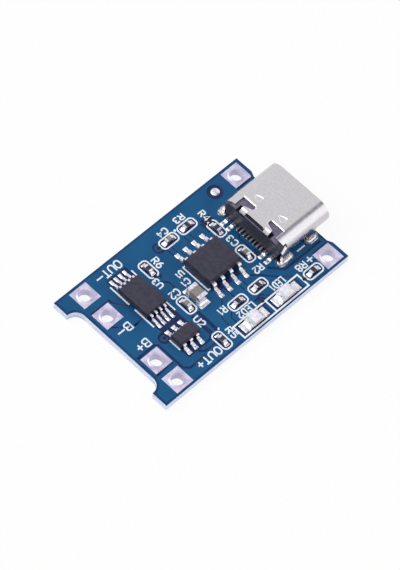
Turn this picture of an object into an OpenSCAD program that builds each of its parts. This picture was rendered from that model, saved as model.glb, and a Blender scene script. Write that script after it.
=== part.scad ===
// Lithium battery charger module: a small circuit board with a USB-C socket at its front edge,
// a charger chip, a battery protection chip with its twin switch, two indicator lights and
// six square wire pads. Millimetres, +Y towards the socket's mouth, +Z up from the board's
// underside, origin in the middle of the underside.

/* [Board] */
// Length of the board, front to rear
board_l = 28; // [28:0.5:34]
// Width of the board
board_w = 17.3; // [17.3:0.1:22]
// Thickness of the board
board_t = 1.0; // [0.8:0.1:1.6]
// Width of the notch in the rear edge
notch_w = 13.1; // [12:0.1:13.4]
// Depth of the notch in the rear edge
notch_d = 1.35; // [0.8:0.05:1.6]
// Radius of the notch's inner corners
notch_r = 1.3; // [0.3:0.05:1.5]
// Width of the recess in the front edge, at its bottom
recess_w = 11.3; // [10.2:0.1:11.6]
// Depth of the recess in the front edge
recess_d = 0.3; // [0.1:0.05:0.4]
// Length of the slanted ends of the recess, along the edge
recess_slant = 0.65; // [0.3:0.05:0.7]
// Margin between the copper and the board's edge
copper_margin = 0.25; // [0.1:0.05:0.4]

/* [Wire pads] */
// Side of a square wire pad
pad_side = 2.44; // [2:0.02:2.6]
// Diameter of the hole in a wire pad
pad_hole_d = 1.5; // [0.8:0.05:1.6]
// Thickness of the plating in the holes
barrel_t = 0.1; // [0.05:0.01:0.15]
// Thickness of a tinned wire pad
pad_t = 0.06; // [0.04:0.01:0.12]
// Width of the solder collar round a hole
collar_w = 0.22; // [0.1:0.02:0.3]
// Height of the solder collar over the pad
collar_h = 0.06; // [0.02:0.01:0.12]
// Distance from the side edges to the middle of the outer pads
pad_side_inset = 1.55; // [1.5:0.05:1.9]
// Distance from the front edge to the middle of the input pads
in_pad_inset = 1.7; // [1.6:0.05:1.8]
// Distance from the rear edge to the middle of the rear pads
out_pad_inset = 3.1; // [2.9:0.05:3.3]
// Gap between the output minus pad and the battery minus pad
minus_gap = 1.06; // [0.8:0.02:1.4]
// Gap between the battery plus pad and the output plus pad
plus_gap = 0.76; // [0.6:0.02:1]

/* [USB-C socket] */
// Middle of the socket across the board
usb_x = -0.18; // [-0.4:0.02:0.2]
// Distance from the board's front edge to the socket's mouth
usb_overhang = 1.2; // [0.6:0.1:1.4]
// Outer width of the shell
shell_w = 8.94; // [8.8:0.02:9.1]
// Outer height of the shell
shell_h = 3.2; // [3.1:0.02:3.3]
// Length of the shell
shell_l = 7.3; // [7:0.1:7.4]
// Thickness of the shell's sheet
shell_t = 0.3; // [0.2:0.02:0.34]
// How far the middle of a leg stands inside the shell's side
leg_inset = 0.02; // [0:0.01:0.1]
// Width of a leg
leg_w = 1.0; // [0.7:0.05:1.1]
// Distance from the mouth to the middle of the front legs
front_leg_inset = 2.65; // [2.4:0.05:2.9]
// Distance from the mouth to the middle of the rear legs
rear_leg_inset = 6.8; // [6.4:0.05:6.8]
// Width of the tongue
tongue_w = 6.69; // [6.5:0.01:6.8]
// Thickness of the tongue
tongue_t = 0.7; // [0.66:0.01:0.8]
// Distance from the mouth to the tongue's tip
tongue_inset = 0.8; // [0.6:0.05:1.2]
// Distance between neighbouring contacts
contact_pitch = 0.5; // [0.48:0.01:0.52]
// Width of a contact
contact_w = 0.2; // [0.18:0.01:0.25]
// Thickness of a contact
contact_t = 0.12; // [0.08:0.01:0.14]
// Distance from the socket's middle to its outer wide tails
outer_tail_x = 3.35; // [3.3:0.01:3.4]
// Distance from the socket's middle to its inner wide tails
inner_tail_x = 2.45; // [2.4:0.01:2.5]

/* [Charger chip] */
// Middle of the charger chip across the board
u1_x = -0.5; // [-0.6:0.05:-0.4]
// Middle of the charger chip along the board
u1_y = 2.0; // [1.9:0.05:2.1]
// Width of the charger chip's body
u1_w = 3.9; // [3.8:0.05:4]
// Length of the charger chip's body
u1_l = 4.9; // [4.7:0.05:5]
// Height of the charger chip over its pads
u1_h = 1.55; // [1.3:0.05:1.75]
// Span of the charger chip over its leads
u1_span = 6.0; // [5.8:0.05:6.2]
// Distance between neighbouring leads of the charger chip
u1_pitch = 1.27; // [1.2:0.01:1.3]
// Width of a lead of the charger chip
u1_lead_w = 0.42; // [0.35:0.01:0.5]
// Thickness of a lead of the charger chip
u1_lead_t = 0.2; // [0.15:0.01:0.25]
// Length of a lead's flat foot on the charger chip
u1_foot = 0.42; // [0.35:0.01:0.5]
// How far a land of the charger chip reaches past its lead
u1_land = 0.675; // [0.5:0.025:0.8]

/* [Protection chip] */
// Middle of the protection chip across the board
u2_x = 3.95; // [3.85:0.05:4.05]
// Middle of the protection chip along the board
u2_y = -6.6; // [-6.7:0.05:-6.5]
// Width of the protection chip's body
u2_w = 1.6; // [1.5:0.05:1.7]
// Length of the protection chip's body
u2_l = 2.9; // [2.8:0.05:3]
// Height of the protection chip over its pads
u2_h = 1.15; // [0.9:0.05:1.25]
// Span of the protection chip over its leads
u2_span = 2.8; // [2.7:0.05:3]
// Distance between neighbouring leads of the protection chip
u2_pitch = 0.95; // [0.9:0.01:1]
// Width of a lead of the protection chip
u2_lead_w = 0.4; // [0.3:0.01:0.45]
// Thickness of a lead of the protection chip
u2_lead_t = 0.13; // [0.1:0.01:0.2]
// Length of a lead's flat foot on the protection chip
u2_foot = 0.25; // [0.2:0.01:0.3]
// How far a land of the protection chip reaches past its lead
u2_land = 0.5; // [0.4:0.025:0.6]

/* [Twin switch chip] */
// Middle of the twin switch across the board
u3_x = -2.58; // [-2.7:0.02:-2.4]
// Middle of the twin switch along the board
u3_y = -6.63; // [-6.7:0.01:-6.5]
// Width of the twin switch's body
u3_w = 4.4; // [4.3:0.05:4.5]
// Length of the twin switch's body
u3_l = 3.0; // [2.9:0.05:3.1]
// Height of the twin switch over its pads
u3_h = 1.05; // [0.9:0.05:1.15]
// Span of the twin switch over its leads
u3_span = 6.4; // [6.3:0.05:6.6]
// Distance between neighbouring leads of the twin switch
u3_pitch = 0.65; // [0.6:0.01:0.68]
// Width of a lead of the twin switch
u3_lead_w = 0.26; // [0.2:0.01:0.3]
// Thickness of a lead of the twin switch
u3_lead_t = 0.13; // [0.1:0.01:0.2]
// Length of a lead's flat foot on the twin switch
u3_foot = 0.45; // [0.4:0.01:0.5]
// How far a land of the twin switch reaches past its lead
u3_land = 0.75; // [0.6:0.025:0.8]

/* [Small components] */
// Length of a small resistor or capacitor
chip_l = 1.0; // [0.9:0.02:1.1]
// Width of a small resistor or capacitor
chip_w = 0.5; // [0.4:0.02:0.56]
// Height of a small resistor
resistor_h = 0.35; // [0.3:0.01:0.45]
// Height of a small capacitor
capacitor_h = 0.5; // [0.4:0.01:0.6]
// Length of the large capacitor
c1_l = 2.0; // [1.9:0.05:2.1]
// Width of the large capacitor
c1_w = 1.25; // [1.15:0.05:1.3]
// Height of the large capacitor
c1_h = 1.25; // [0.8:0.05:1.4]

/* [Indicator lights] */
// Distance from the board's right edge to the middle of the lights
led_inset = 1.18; // [1.15:0.01:1.3]
// Length of a light
led_l = 2.0; // [1.9:0.05:2.1]
// Width of a light
led_w = 1.25; // [1.15:0.05:1.3]
// Height of a light over its pads
led_h = 0.8; // [0.6:0.05:1]
// Length of a light's lens at its foot
lens_l = 1.35; // [1.2:0.05:1.4]

/* [Print] */
// Width of the printed lines
print_w = 0.18; // [0.12:0.01:0.2]
// Thickness of the printed lines
print_t = 0.03; // [0.02:0.005:0.05]

/* [Hidden] */
$fn = 48;
eps = 0.01;

board_top = board_t;
front_edge = board_l / 2;
rear_edge = -board_l / 2;
right_edge = board_w / 2;
left_edge = -board_w / 2;

// Solder lies this thick under every lead and terminal.
land_t = 0.05;
land_top = board_top + land_t;

// The pads sit a little to the right of the board's middle.
pads_shift = 0.07;
in_y = front_edge - in_pad_inset;
out_y = rear_edge + out_pad_inset;
outer_right = right_edge - pad_side_inset + pads_shift;
outer_left = left_edge + pad_side_inset + pads_shift;
battery_right = outer_right - pad_side - plus_gap;
battery_left = outer_left + pad_side + minus_gap;
pad_places = [
    [outer_left, in_y], [outer_right, in_y], [outer_left, out_y],
    [battery_left, out_y], [battery_right, out_y], [outer_right, out_y]
];

// Plated vias, with their drill and the copper round it.
via_d = 0.3;
via_plating = 0.1;
front_via_inset = 5.74;
right_via_insets = [1.15, 2.3];
left_via_inset = 2.65;
via_places = [
    [right_edge - right_via_insets[0], front_edge - front_via_inset], [1.55, 6.75], [-4.82, 5.95], [-4.82, 5.27],
    [right_edge - right_via_insets[1], 2.85], [left_edge + left_via_inset, -0.7], [2.55, -8.3], [-3.6, -3.55]
];

// The test point is a plated hole filled with solder.
test_d = 1.0;
test_hole_d = 0.6;
test_h = 0.12;
test_side_inset = 1.6;
test_front_inset = 4.95;
test_x = left_edge + test_side_inset;
test_y = front_edge - test_front_inset;

// Socket: where its parts lie along and over the board.
mouth_y = front_edge + usb_overhang;
shell_rear = mouth_y - shell_l;
usb_z = board_top + shell_h / 2;
shell_end_r = shell_h / 2;
cavity_w = shell_w - 2 * shell_t;
cavity_h = shell_h - 2 * shell_t;
housing_clear = 0.02;
housing_w = cavity_w - 2 * housing_clear;
housing_h = cavity_h - 2 * housing_clear;
housing_back = 0.2;
housing_rear = shell_rear - housing_back;
base_depth = 1.8;
base_front = shell_rear + base_depth;
step_depth = 0.9;
pocket_w = 0.44;
pocket_l = 0.75;
pocket_d = 0.5;
arm_clear = 0.06;
rear_wall_t = 0.1;
rear_gap_w = 0.2;
step_w = 7.6;
step_h = 1.3;
tongue_tip = mouth_y - tongue_inset;
peg_x = 2.89;
peg_d = 0.55;
peg_hole_d = 0.65;
peg_y = shell_rear + 1.0;
peg_len = board_t * 0.8;
shell_slot_front = 1.42;
shell_slot_rear = 0.55;
slot_inner_x = 1.12;
slot_outer_x = 3.05;
slot_end_r = 0.2;
tab_half = 2.17;
tab_slope = 0.3;
tab_arm_x = 1.38;
tab_arm_bend = 0.4;
tab_corner = 0.22;
tab_hollow = 0.1;
corner_cut_x = 3.0;
corner_cut_top = 0.12;
corner_cut_rear = 0.35;
corner_cut_front = 0.8;
corner_cut_drop = 0.57;
dimple_x = 1.83;
dimple_y = 2.43;
dimple_d = 0.12;
leg_pitch = shell_w - 2 * leg_inset;
leg_solder_w = 1.15;
leg_hole_gap = 0.2;
foot_gap = 0.05;
housing_foot_w = leg_pitch - leg_solder_w - foot_gap;
pad_leg_gap = 0.2;
leg_ys = [mouth_y - front_leg_inset, mouth_y - rear_leg_inset];
leg_solder_ls = [1.85, 2.4];

// Contacts: the blades stand on both faces of the tongue and each runs to its own tail.
blade_proud = 0.04;
blade_tip = tongue_tip - 0.7;
blade_xs = [-5.5, -2.5, -1.5, -0.5, 0.5, 1.5, 2.5, 5.5] * contact_pitch;
tail_half = 0.14;
upper_tail_xs = [
    -outer_tail_x - tail_half, -inner_tail_x - tail_half, -2.5 * contact_pitch, -0.5 * contact_pitch,
    0.5 * contact_pitch, 2.5 * contact_pitch, inner_tail_x - tail_half, outer_tail_x - tail_half
];
lower_tail_xs = [
    -outer_tail_x + tail_half, -inner_tail_x + tail_half, -3.5 * contact_pitch, -1.5 * contact_pitch,
    1.5 * contact_pitch, 3.5 * contact_pitch, inner_tail_x + tail_half, outer_tail_x + tail_half
];
jog_front = base_front - 0.25;
jog_step = 0.36;
tail_end = housing_rear - 0.45;
tail_land_end = housing_rear - 1.22;
tail_gap_d = 0.1;
tail_gap_h = 0.25;
short_land = 0.08;
upper_blade_z = usb_z + tongue_t / 2 + blade_proud - contact_t;
lower_blade_z = usb_z - tongue_t / 2 - blade_proud;
riser_front = housing_rear + 0.2;
latch_t = 0.15;
latch_w = 6.3;
latch_notch_l = 0.9;
latch_notch_d = 0.3;
latch_notch_inset = 1.9;

// Chips with gull-wing leads: [x, y, body width, body length, height, span, leads a side, pitch,
// lead width, lead thickness, flat foot, span over the lands].
standoff = 0.1;
draft = 7;
root_depth = 0.25;
u1 = [u1_x, u1_y, u1_w, u1_l, u1_h, u1_span, 4, u1_pitch, u1_lead_w, u1_lead_t, u1_foot, u1_span + 2 * u1_land];
u2 = [u2_x, u2_y, u2_w, u2_l, u2_h, u2_span, 3, u2_pitch, u2_lead_w, u2_lead_t, u2_foot, u2_span + 2 * u2_land];
u3 = [u3_x, u3_y, u3_w, u3_l, u3_h, u3_span, 4, u3_pitch, u3_lead_w, u3_lead_t, u3_foot, u3_span + 2 * u3_land];

// Small components: [name, x, y, turn, kind].
edge_chip_x = right_edge - led_inset;
right_chip_inset = 3.93;
left_chip_inset = 2.7;
r5_inset = 1.72;
r8_front_inset = 4.3;
right_chip_x = right_edge - right_chip_inset;
left_chip_x = left_edge + left_chip_inset;
CHIPS = [
    ["r1", right_chip_x, 0.77, 90, "resistor"],
    ["r2", right_chip_x, 3.87, 90, "resistor"],
    ["r3", left_chip_x, 3.58, 90, "resistor"],
    ["r4", -3.55, 5.77, 0, "resistor"],
    ["r5", right_edge - r5_inset, -3.9, 0, "resistor"],
    ["r6", -4.8, -3.5, 0, "resistor"],
    ["r8", edge_chip_x, front_edge - r8_front_inset, 90, "resistor"],
    ["c2", 1.2, -3.6, 0, "capacitor"],
    ["c3", 0.87, 5.82, 0, "capacitor"],
    ["c4", left_chip_x, 0.77, 90, "capacitor"]
];
plating_t = 0.02;
terminal_share = 0.24;
chip_land_l = 0.6;
chip_land_gap = 0.6;
c1_x = 1.2;
c1_y = -2.08;
c1_land_w = 1.4;
c1_land_l = 1.0;

// Indicator lights: [name, y].
LEDS = [["led1", 5.4], ["led2", 0.5]];
led_base_t = 0.3;
led_terminal_l = 0.3;
led_notch_r = 0.28;
led_land_l = 1.2;
led_land_gap = 1.3;

// Printed outlines.
outline_l = 2.54;
outline_w = 1.42;
outline_r = 0.55;
frame_w = 2.0;
frame_line = 0.2;
frame_ys = [-1.85, 3.1, 8.05];

// Printed lines at the chips' ends: where each starts and ends beside the chip's middle.
u1_line = 1.94;
u1_line_gap = 0.07;
u1_tick = 0.25;
u2_line = [-0.76, 0.72];
u2_line_gap = 0.03;
u3_front_lines = [[-3.3, -2.6], [2.12, 3.3]];
u3_front_gap = 0.19;
u3_rear_lines = [[-3.3, -0.5], [0.5, 3.3]];
u3_rear_gap = 0.02;
dot_inset = 2.2;
dot_x = left_edge + dot_inset;
dot_y = 2.18;
dot_r = 0.16;

// A box by its middle in X and Y and its lowest face.
module block(size, at = [0, 0, 0]) {
    translate([at[0] - size[0] / 2, at[1] - size[1] / 2, at[2]]) cube(size);
}

// An outline with straight sides along X and round ends.
module stadium(w, h) {
    square([w - h, h], center = true);
    for (s = [-1, 1]) translate([s * (w - h) / 2, 0]) circle(d = h);
}

module rounded_rect(w, h, r) {
    square([w - 2 * r, h], center = true);
    square([w, h - 2 * r], center = true);
    for (sx = [-1, 1], sy = [-1, 1]) translate([sx * (w / 2 - r), sy * (h / 2 - r)]) circle(r);
}

// The recess in the front edge, grown for the copper's margin.
module front_recess(grow = 0) {
    half = recess_w / 2 + grow;
    bottom = front_edge - recess_d - grow;
    polygon([
        [-half, bottom], [half, bottom],
        [half + recess_slant, bottom + recess_d], [half + recess_slant, front_edge + 1],
        [-half - recess_slant, front_edge + 1], [-half - recess_slant, bottom + recess_d]
    ]);
}

// The notch in the rear edge, with round inner corners.
module rear_notch() {
    floor_y = rear_edge + notch_d;
    r = min(notch_r, notch_d - eps);
    translate([-notch_w / 2, rear_edge - 1]) square([notch_w, notch_d - r + 1]);
    translate([-notch_w / 2 + r, rear_edge - 1]) square([notch_w - 2 * r, notch_d + 1]);
    for (s = [-1, 1]) translate([s * (notch_w / 2 - r), floor_y - r]) circle(r);
}

module leg_hole() {
    linear_extrude(board_t + 2 * eps) rotate(90)
        stadium(leg_w + 2 * leg_hole_gap, shell_t + 2 * leg_hole_gap);
}

module at_legs() {
    for (s = [-1, 1], i = [0, 1])
        translate([usb_x + s * leg_pitch / 2, leg_ys[i], 0]) {
            $side = s;
            $solder_l = leg_solder_ls[i];
            children();
        }
}

module board() {
    color("#2a5f96") difference() {
        linear_extrude(board_t) difference() {
            square([board_w, board_l], center = true);
            front_recess();
            rear_notch();
        }
        for (p = pad_places) translate([p[0], p[1], -eps]) {
            cylinder(d = pad_hole_d + 2 * barrel_t, h = board_t + 2 * eps);
            block([pad_side, pad_side, pad_t + eps]);
        }
        for (p = via_places)
            translate([p[0], p[1], -eps]) cylinder(d = via_d + 2 * via_plating, h = board_t + 2 * eps);
        translate([test_x, test_y, -eps]) cylinder(d = test_hole_d, h = board_t + 2 * eps);
        at_legs() translate([0, 0, -eps]) leg_hole();
        for (s = [-1, 1])
            translate([usb_x + s * peg_x, peg_y, -eps]) cylinder(d = peg_hole_d, h = board_t + 2 * eps);
    }
}

// One wire pad: a tinned square on each face, joined by the plated hole.
module wire_pad(place) {
    top = board_top + pad_t;
    color("#d9d4e4") difference() {
        union() {
            translate([place[0], place[1], 0]) rotate_extrude() polygon([
                [pad_hole_d / 2, 0], [pad_hole_d / 2 + barrel_t, 0],
                [pad_hole_d / 2 + barrel_t, board_top], [pad_hole_d / 2 + collar_w, board_top],
                [pad_hole_d / 2 + collar_w, top], [pad_hole_d / 2 + collar_w / 2, top + collar_h * 0.7],
                [pad_hole_d / 2, top + collar_h]
            ]);
            block([pad_side, pad_side, pad_t], [place[0], place[1], board_top]);
            block([pad_side, pad_side, pad_t], [place[0], place[1], 0]);
        }
        translate([place[0], place[1], -1]) cylinder(d = pad_hole_d, h = board_t + 3);
        translate([0, 0, -1]) linear_extrude(board_t + 3) front_recess(copper_margin);
        at_legs() translate([0, 0, -1]) linear_extrude(board_t + 3) rotate(90)
            stadium($solder_l + 2 * pad_leg_gap, leg_solder_w + 2 * pad_leg_gap);
    }
}

module pad_in_minus() { wire_pad(pad_places[0]); }
module pad_in_plus() { wire_pad(pad_places[1]); }
module pad_out_minus() { wire_pad(pad_places[2]); }
module pad_b_minus() { wire_pad(pad_places[3]); }
module pad_b_plus() { wire_pad(pad_places[4]); }
module pad_out_plus() { wire_pad(pad_places[5]); }

module vias() {
    color("#b9b3a4") for (p = via_places) translate([p[0], p[1], 0]) difference() {
        cylinder(d = via_d + 2 * via_plating, h = board_t);
        translate([0, 0, -1]) cylinder(d = via_d, h = board_t + 2);
    }
}

// The solder in the test point's hole, with its low dome.
module test_point() {
    color("#e6e6ee") translate([test_x, test_y, 0]) rotate_extrude() polygon([
        [0, 0], [test_hole_d / 2, 0], [test_hole_d / 2, board_top], [test_d / 2, board_top],
        [test_d / 2, board_top + test_h * 0.4], [test_d * 0.32, board_top + test_h * 0.85],
        [0, board_top + test_h]
    ]);
}

// An outline in X and Z, drawn out along Y from y0 to y1.
module along_y(y0, y1) {
    translate([0, y1, 0]) rotate([90, 0, 0]) linear_extrude(y1 - y0) children();
}

// One slot in the shell's top, with its way out at the rear: the metal between the two
// slots and the ways out is the T-shaped tab that holds the housing. Its arms taper to their ends.
module shell_slot(side) {
    front = shell_rear + shell_slot_front;
    rear = shell_rear + shell_slot_rear;
    x_in = slot_inner_x + slot_end_r;
    arm_root = rear + tab_slope;
    translate([usb_x, 0, usb_z]) mirror([side < 0 ? 1 : 0, 0, 0]) linear_extrude(shell_h) {
        polygon([[x_in, arm_root], [tab_half, rear], [tab_half, shell_rear - 1], [slot_outer_x, shell_rear - 1],
                 [slot_outer_x, front], [x_in, front]]);
        translate([slot_inner_x, arm_root + slot_end_r]) square([1, front - arm_root - 2 * slot_end_r]);
        for (y = [arm_root + slot_end_r, front - slot_end_r]) translate([x_in, y]) circle(slot_end_r);
    }
}

// The hollow in the tab's rear edge, between its arms.
module tab_hollow_cut() {
    translate([usb_x, shell_rear, usb_z]) linear_extrude(shell_h) polygon([
        [-tab_arm_x, -1], [tab_arm_x, -1], [tab_arm_x, 0], [tab_arm_x - tab_corner, tab_hollow],
        [tab_corner - tab_arm_x, tab_hollow], [-tab_arm_x, 0]
    ]);
    for (s = [-1, 1])
        block([tab_half - tab_arm_x + eps, 1 + tab_arm_bend, shell_h],
              [usb_x + s * (tab_half + tab_arm_x) / 2, shell_rear + (tab_arm_bend - 1) / 2, usb_z]);
}

// One arm of the tab: it bends down behind the slot into the housing's recess.
module tab_arm(side) {
    root = tab_arm_bend + eps;
    translate([usb_x, shell_rear, usb_z + shell_h / 2]) mirror([side < 0 ? 1 : 0, 0, 0])
        translate([tab_arm_x - eps, 0, 0]) rotate([90, 0, 90]) linear_extrude(tab_half - tab_arm_x + eps) polygon([
            [root, 0], [0.3, -0.02], [0.15, -0.1], [-0.12, -0.36], [-0.17, -0.46], [-0.13, -0.56], [-0.05, -0.6],
            [0.2, -0.4], [root, -shell_t]
        ]);
}

// A leg: the strip let down from the shell's side into the board. Its top leans in to the side
// and runs up into the sheet.
module shell_leg() {
    side_x = (shell_w - leg_pitch) / 2;
    bite = 0.2;
    mirror([$side < 0 ? 1 : 0, 0, 0]) along_y(-leg_w / 2, leg_w / 2) polygon([
        [-shell_t / 2, 0], [shell_t / 2, 0], [shell_t / 2, usb_z - 0.45], [side_x, usb_z],
        [side_x - bite / 4, usb_z + bite], [-shell_t / 2, usb_z + bite]
    ]);
}

// The drawn shell: an open tube with round sides, its cut-outs, coined dimples and legs.
module usb_shell() {
    color("#c8c6ca") {
        difference() {
            translate([usb_x, 0, usb_z]) along_y(shell_rear, mouth_y) difference() {
                stadium(shell_w, shell_h);
                stadium(cavity_w, cavity_h);
            }
            for (s = [-1, 1]) {
                shell_slot(s);
                translate([usb_x + s * peg_x, peg_y, 0]) cylinder(d = peg_hole_d, h = usb_z);
                translate([usb_x + s * dimple_x, shell_rear + dimple_y, usb_z + shell_h / 2]) dimple();
            }
            tab_hollow_cut();
            corner_cut();
            at_legs() leg_window();
        }
        for (s = [-1, 1]) tab_arm(s);
        difference() {
            at_legs() shell_leg();
            translate([usb_x, 0, usb_z]) along_y(shell_rear - 1, mouth_y) stadium(cavity_w, cavity_h);
            corner_cut();
        }
    }
}

// The window that a leg leaves in the lower side of the shell.
module leg_window() {
    w = shell_end_r + shell_t;
    translate([-$side * w / 2 - (leg_pitch - shell_w) / 2 * $side, 0, 0])
        block([w, leg_w + 0.2, usb_z - 0.25 - board_top], [0, 0, board_top + 0.25]);
}

// The cut at the shell's right rear corner, as an outline in Y and Z: a slant at the top, a notch
// below it, and a longer slant down to the leg.
module corner_cut() {
    top = shell_h - corner_cut_drop;
    translate([usb_x + corner_cut_x, shell_rear, board_top]) rotate([90, 0, 90]) linear_extrude(shell_w / 2) polygon([
        [-1, shell_h / 2], [0, shell_h / 2], [corner_cut_front - 0.1, top - 0.5], [corner_cut_front, top - 0.3],
        [corner_cut_front, top], [corner_cut_rear, top], [corner_cut_top, shell_h], [corner_cut_top, shell_h + 1],
        [-1, shell_h + 1]
    ]);
}

// A coined dimple in the sheet: a shallow three-cornered hollow with blunt corners.
module dimple() {
    translate([0, 0, -dimple_d]) linear_extrude(1) polygon([
        [-0.47, 0.02], [-0.44, 0.09], [0.24, 0.33], [0.33, 0.31], [0.36, 0.22], [0.27, -0.28], [0.2, -0.35], [0.11, -0.33]
    ]);
}

// The shape of the contacts, used for the solids and for their places in the moulding.
module contact(blade_x, tail_x, blade_z, jog_y) {
    w = contact_w;
    t = contact_t;
    block([w, blade_tip - jog_y, t], [blade_x, (blade_tip + jog_y) / 2, blade_z]);
    block([abs(tail_x - blade_x) + w, w, t], [(tail_x + blade_x) / 2, jog_y, blade_z]);
    block([w, jog_y - riser_front + t, t], [tail_x, (jog_y + riser_front - t) / 2, blade_z]);
    block([w, t, blade_z + t - land_top], [tail_x, riser_front - t / 2, land_top]);
    block([w, riser_front - tail_end, t], [tail_x, (riser_front + tail_end) / 2, land_top]);
}

// Contacts further from the middle turn outwards first, so that none crosses another.
function jog_y_of(i) = jog_front - jog_step * (i < 4 ? i : 7 - i);

module contact_row(tail_xs, blade_z) {
    translate([usb_x, 0, 0]) for (i = [0 : 7])
        contact(blade_xs[i], tail_xs[i], blade_z, jog_y_of(i));
}

module usb_contacts_upper() {
    color("#d6b25e") contact_row(upper_tail_xs, upper_blade_z);
}

module usb_contacts_lower() {
    color("#d6b25e") contact_row(lower_tail_xs, lower_blade_z);
}

// The steel plate between the contact rows, with the notches that hold the plug's latches.
module usb_latch_plate() {
    color("#b4b4b8") translate([usb_x, 0, usb_z - latch_t / 2]) difference() {
        block([latch_w, tongue_tip - 0.25 - base_front + 0.6, latch_t],
              [0, (tongue_tip - 0.25 + base_front - 0.6) / 2, 0]);
        for (s = [-1, 1])
            block([2 * latch_notch_d, latch_notch_l, 3 * latch_t],
                  [s * latch_w / 2, tongue_tip - latch_notch_inset, -latch_t]);
    }
}

// The moulded housing: the block that fills the shell's rear, the step and the tongue.
module usb_housing() {
    tip_r = 0.3;
    pocket_in = tab_arm_x - arm_clear;
    pocket_out = tab_half + pocket_w;
    color("#46434e") difference() {
        union() {
            translate([usb_x, 0, usb_z]) {
                along_y(housing_rear, base_front) stadium(housing_w, housing_h);
                along_y(base_front - eps, base_front + step_depth)
                    rounded_rect(step_w, step_h, 0.3);
                translate([0, 0, -tongue_t / 2]) linear_extrude(tongue_t) {
                    translate([-tongue_w / 2, base_front])
                        square([tongue_w, tongue_tip - tip_r - base_front]);
                    translate([-tongue_w / 2 + tip_r, base_front])
                        square([tongue_w - 2 * tip_r, tongue_tip - base_front]);
                    for (s = [-1, 1])
                        translate([s * (tongue_w / 2 - tip_r), tongue_tip - tip_r]) circle(tip_r);
                }
            }
            translate([usb_x, housing_rear, board_top])
                translate([-housing_foot_w / 2, 0, 0]) cube([housing_foot_w, housing_back - housing_clear, 1]);
            for (s = [-1, 1]) translate([usb_x + s * peg_x, peg_y, board_top - peg_len])
                cylinder(d = peg_d, h = peg_len + 0.6);
        }
        contact_row(upper_tail_xs, upper_blade_z);
        contact_row(lower_tail_xs, lower_blade_z);
        usb_latch_plate();
        for (s = [-1, 1]) {
            // the latch recesses in the tongue's sides
            block([2 * latch_notch_d + tongue_w - latch_w, latch_notch_l, 2 * tongue_t],
                  [usb_x + s * tongue_w / 2, tongue_tip - latch_notch_inset, usb_z - tongue_t]);
            // the recesses that the tab's arms bend into
            block([pocket_out - pocket_in, pocket_l, 1],
                  [usb_x + s * (pocket_out + pocket_in) / 2, housing_rear + pocket_l / 2 - eps,
                   usb_z + housing_h / 2 - pocket_d]);
        }
        // the gap over the board where the tails come out
        block([2 * (outer_tail_x + tail_half + contact_w), 2 * tail_gap_d, 2 * tail_gap_h],
              [usb_x, housing_rear, board_top - tail_gap_h]);
        // the gap behind the tab's middle
        block([2 * pocket_in + eps, rear_gap_w, 1],
              [usb_x, housing_rear + rear_wall_t + rear_gap_w / 2, usb_z + housing_h / 2 - pocket_d]);
    }
}

// A mound with round ends, drawn out along Y: straight at its foot, then leaning in to its top.
module solder_mound(l, w, h) {
    outline = [[0, 0], [w / 2, 0], [w / 2, land_t], [w / 2 - h, h], [0, h]];
    for (s = [0, 1]) mirror([0, s, 0]) translate([0, (l - w) / 2, 0]) rotate_extrude() polygon(outline);
    for (s = [0, 1]) mirror([s, 0, 0]) along_y(-(l - w) / 2, (l - w) / 2) polygon(outline);
}

// Solder in and round the four legs.
module usb_leg_solder() {
    color("#d9d9de") at_legs() difference() {
        union() {
            linear_extrude(board_t) rotate(90)
                stadium(leg_w + 2 * leg_hole_gap, shell_t + 2 * leg_hole_gap);
            translate([0, 0, board_top]) solder_mound($solder_l, leg_solder_w, 0.3);
        }
        translate([0, 0, -1]) block([shell_t, leg_w, usb_z + 1]);
        translate([-$side * leg_pitch / 2, -leg_ys[0], usb_z]) along_y(0, 2 * mouth_y)
            stadium(shell_w + 0.02, shell_h + 0.02);
    }
}

// A solder ramp that falls from height h to nothing over length l, in a hollow curve.
module ramp(l, h, w) {
    steps = 6;
    translate([0, w / 2, 0]) rotate([90, 0, 0]) linear_extrude(w)
        polygon(concat([[0, 0]], [for (i = [0 : steps]) [l * i / steps, h * pow(1 - i / steps, 1.8) + 0.01]], [[l, 0]]));
}

// Solder at the contact tails: long lands at the wide pairs and short ones between.
module usb_tail_solder() {
    color("#e4e4ea") translate([usb_x, 0, board_top]) {
        for (s = [-1, 1], x = [outer_tail_x, inner_tail_x]) {
            wide = 2 * tail_half + contact_w + 0.04;
            block([wide, housing_rear - tail_land_end, land_t],
                  [s * x, (housing_rear + tail_land_end) / 2, 0]);
            translate([s * x, tail_end, land_t]) rotate(-90)
                ramp(tail_end - tail_land_end, contact_t + 0.04, wide);
        }
        for (i = [-3.5 : 1 : 3.5]) {
            short_end = tail_end - short_land;
            block([contact_w + 0.04, housing_rear - short_end, land_t],
                  [i * contact_pitch, (housing_rear + short_end) / 2, 0]);
            translate([i * contact_pitch, tail_end, land_t]) rotate(-90)
                ramp(short_land, contact_t, contact_w);
        }
    }
}

// A flat strip bent twice: out of the body, down, and out again along the land.
module gull_profile(reach, rise, t, foot) {
    r_in = 0.75 * t;
    r_out = r_in + t;
    run = reach - foot - r_in - r_out;
    difference() {
        union() {
            translate([-root_depth, rise - t]) square([run + root_depth + eps, t]);
            intersection() {
                translate([run, rise - r_out]) circle(r_out);
                translate([run, rise - r_out]) square(r_out);
            }
            translate([run + r_in, r_out]) square([t, rise - 2 * r_out]);
            intersection() {
                translate([run + r_in + r_out, r_out]) circle(r_out);
                translate([run + r_in, 0]) square(r_out);
            }
            translate([run + r_in + r_out - eps, 0]) square([foot + eps, t]);
        }
        translate([run, rise - r_out]) circle(r_in);
        translate([run + r_in + r_out, r_out]) circle(r_in);
    }
}

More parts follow.
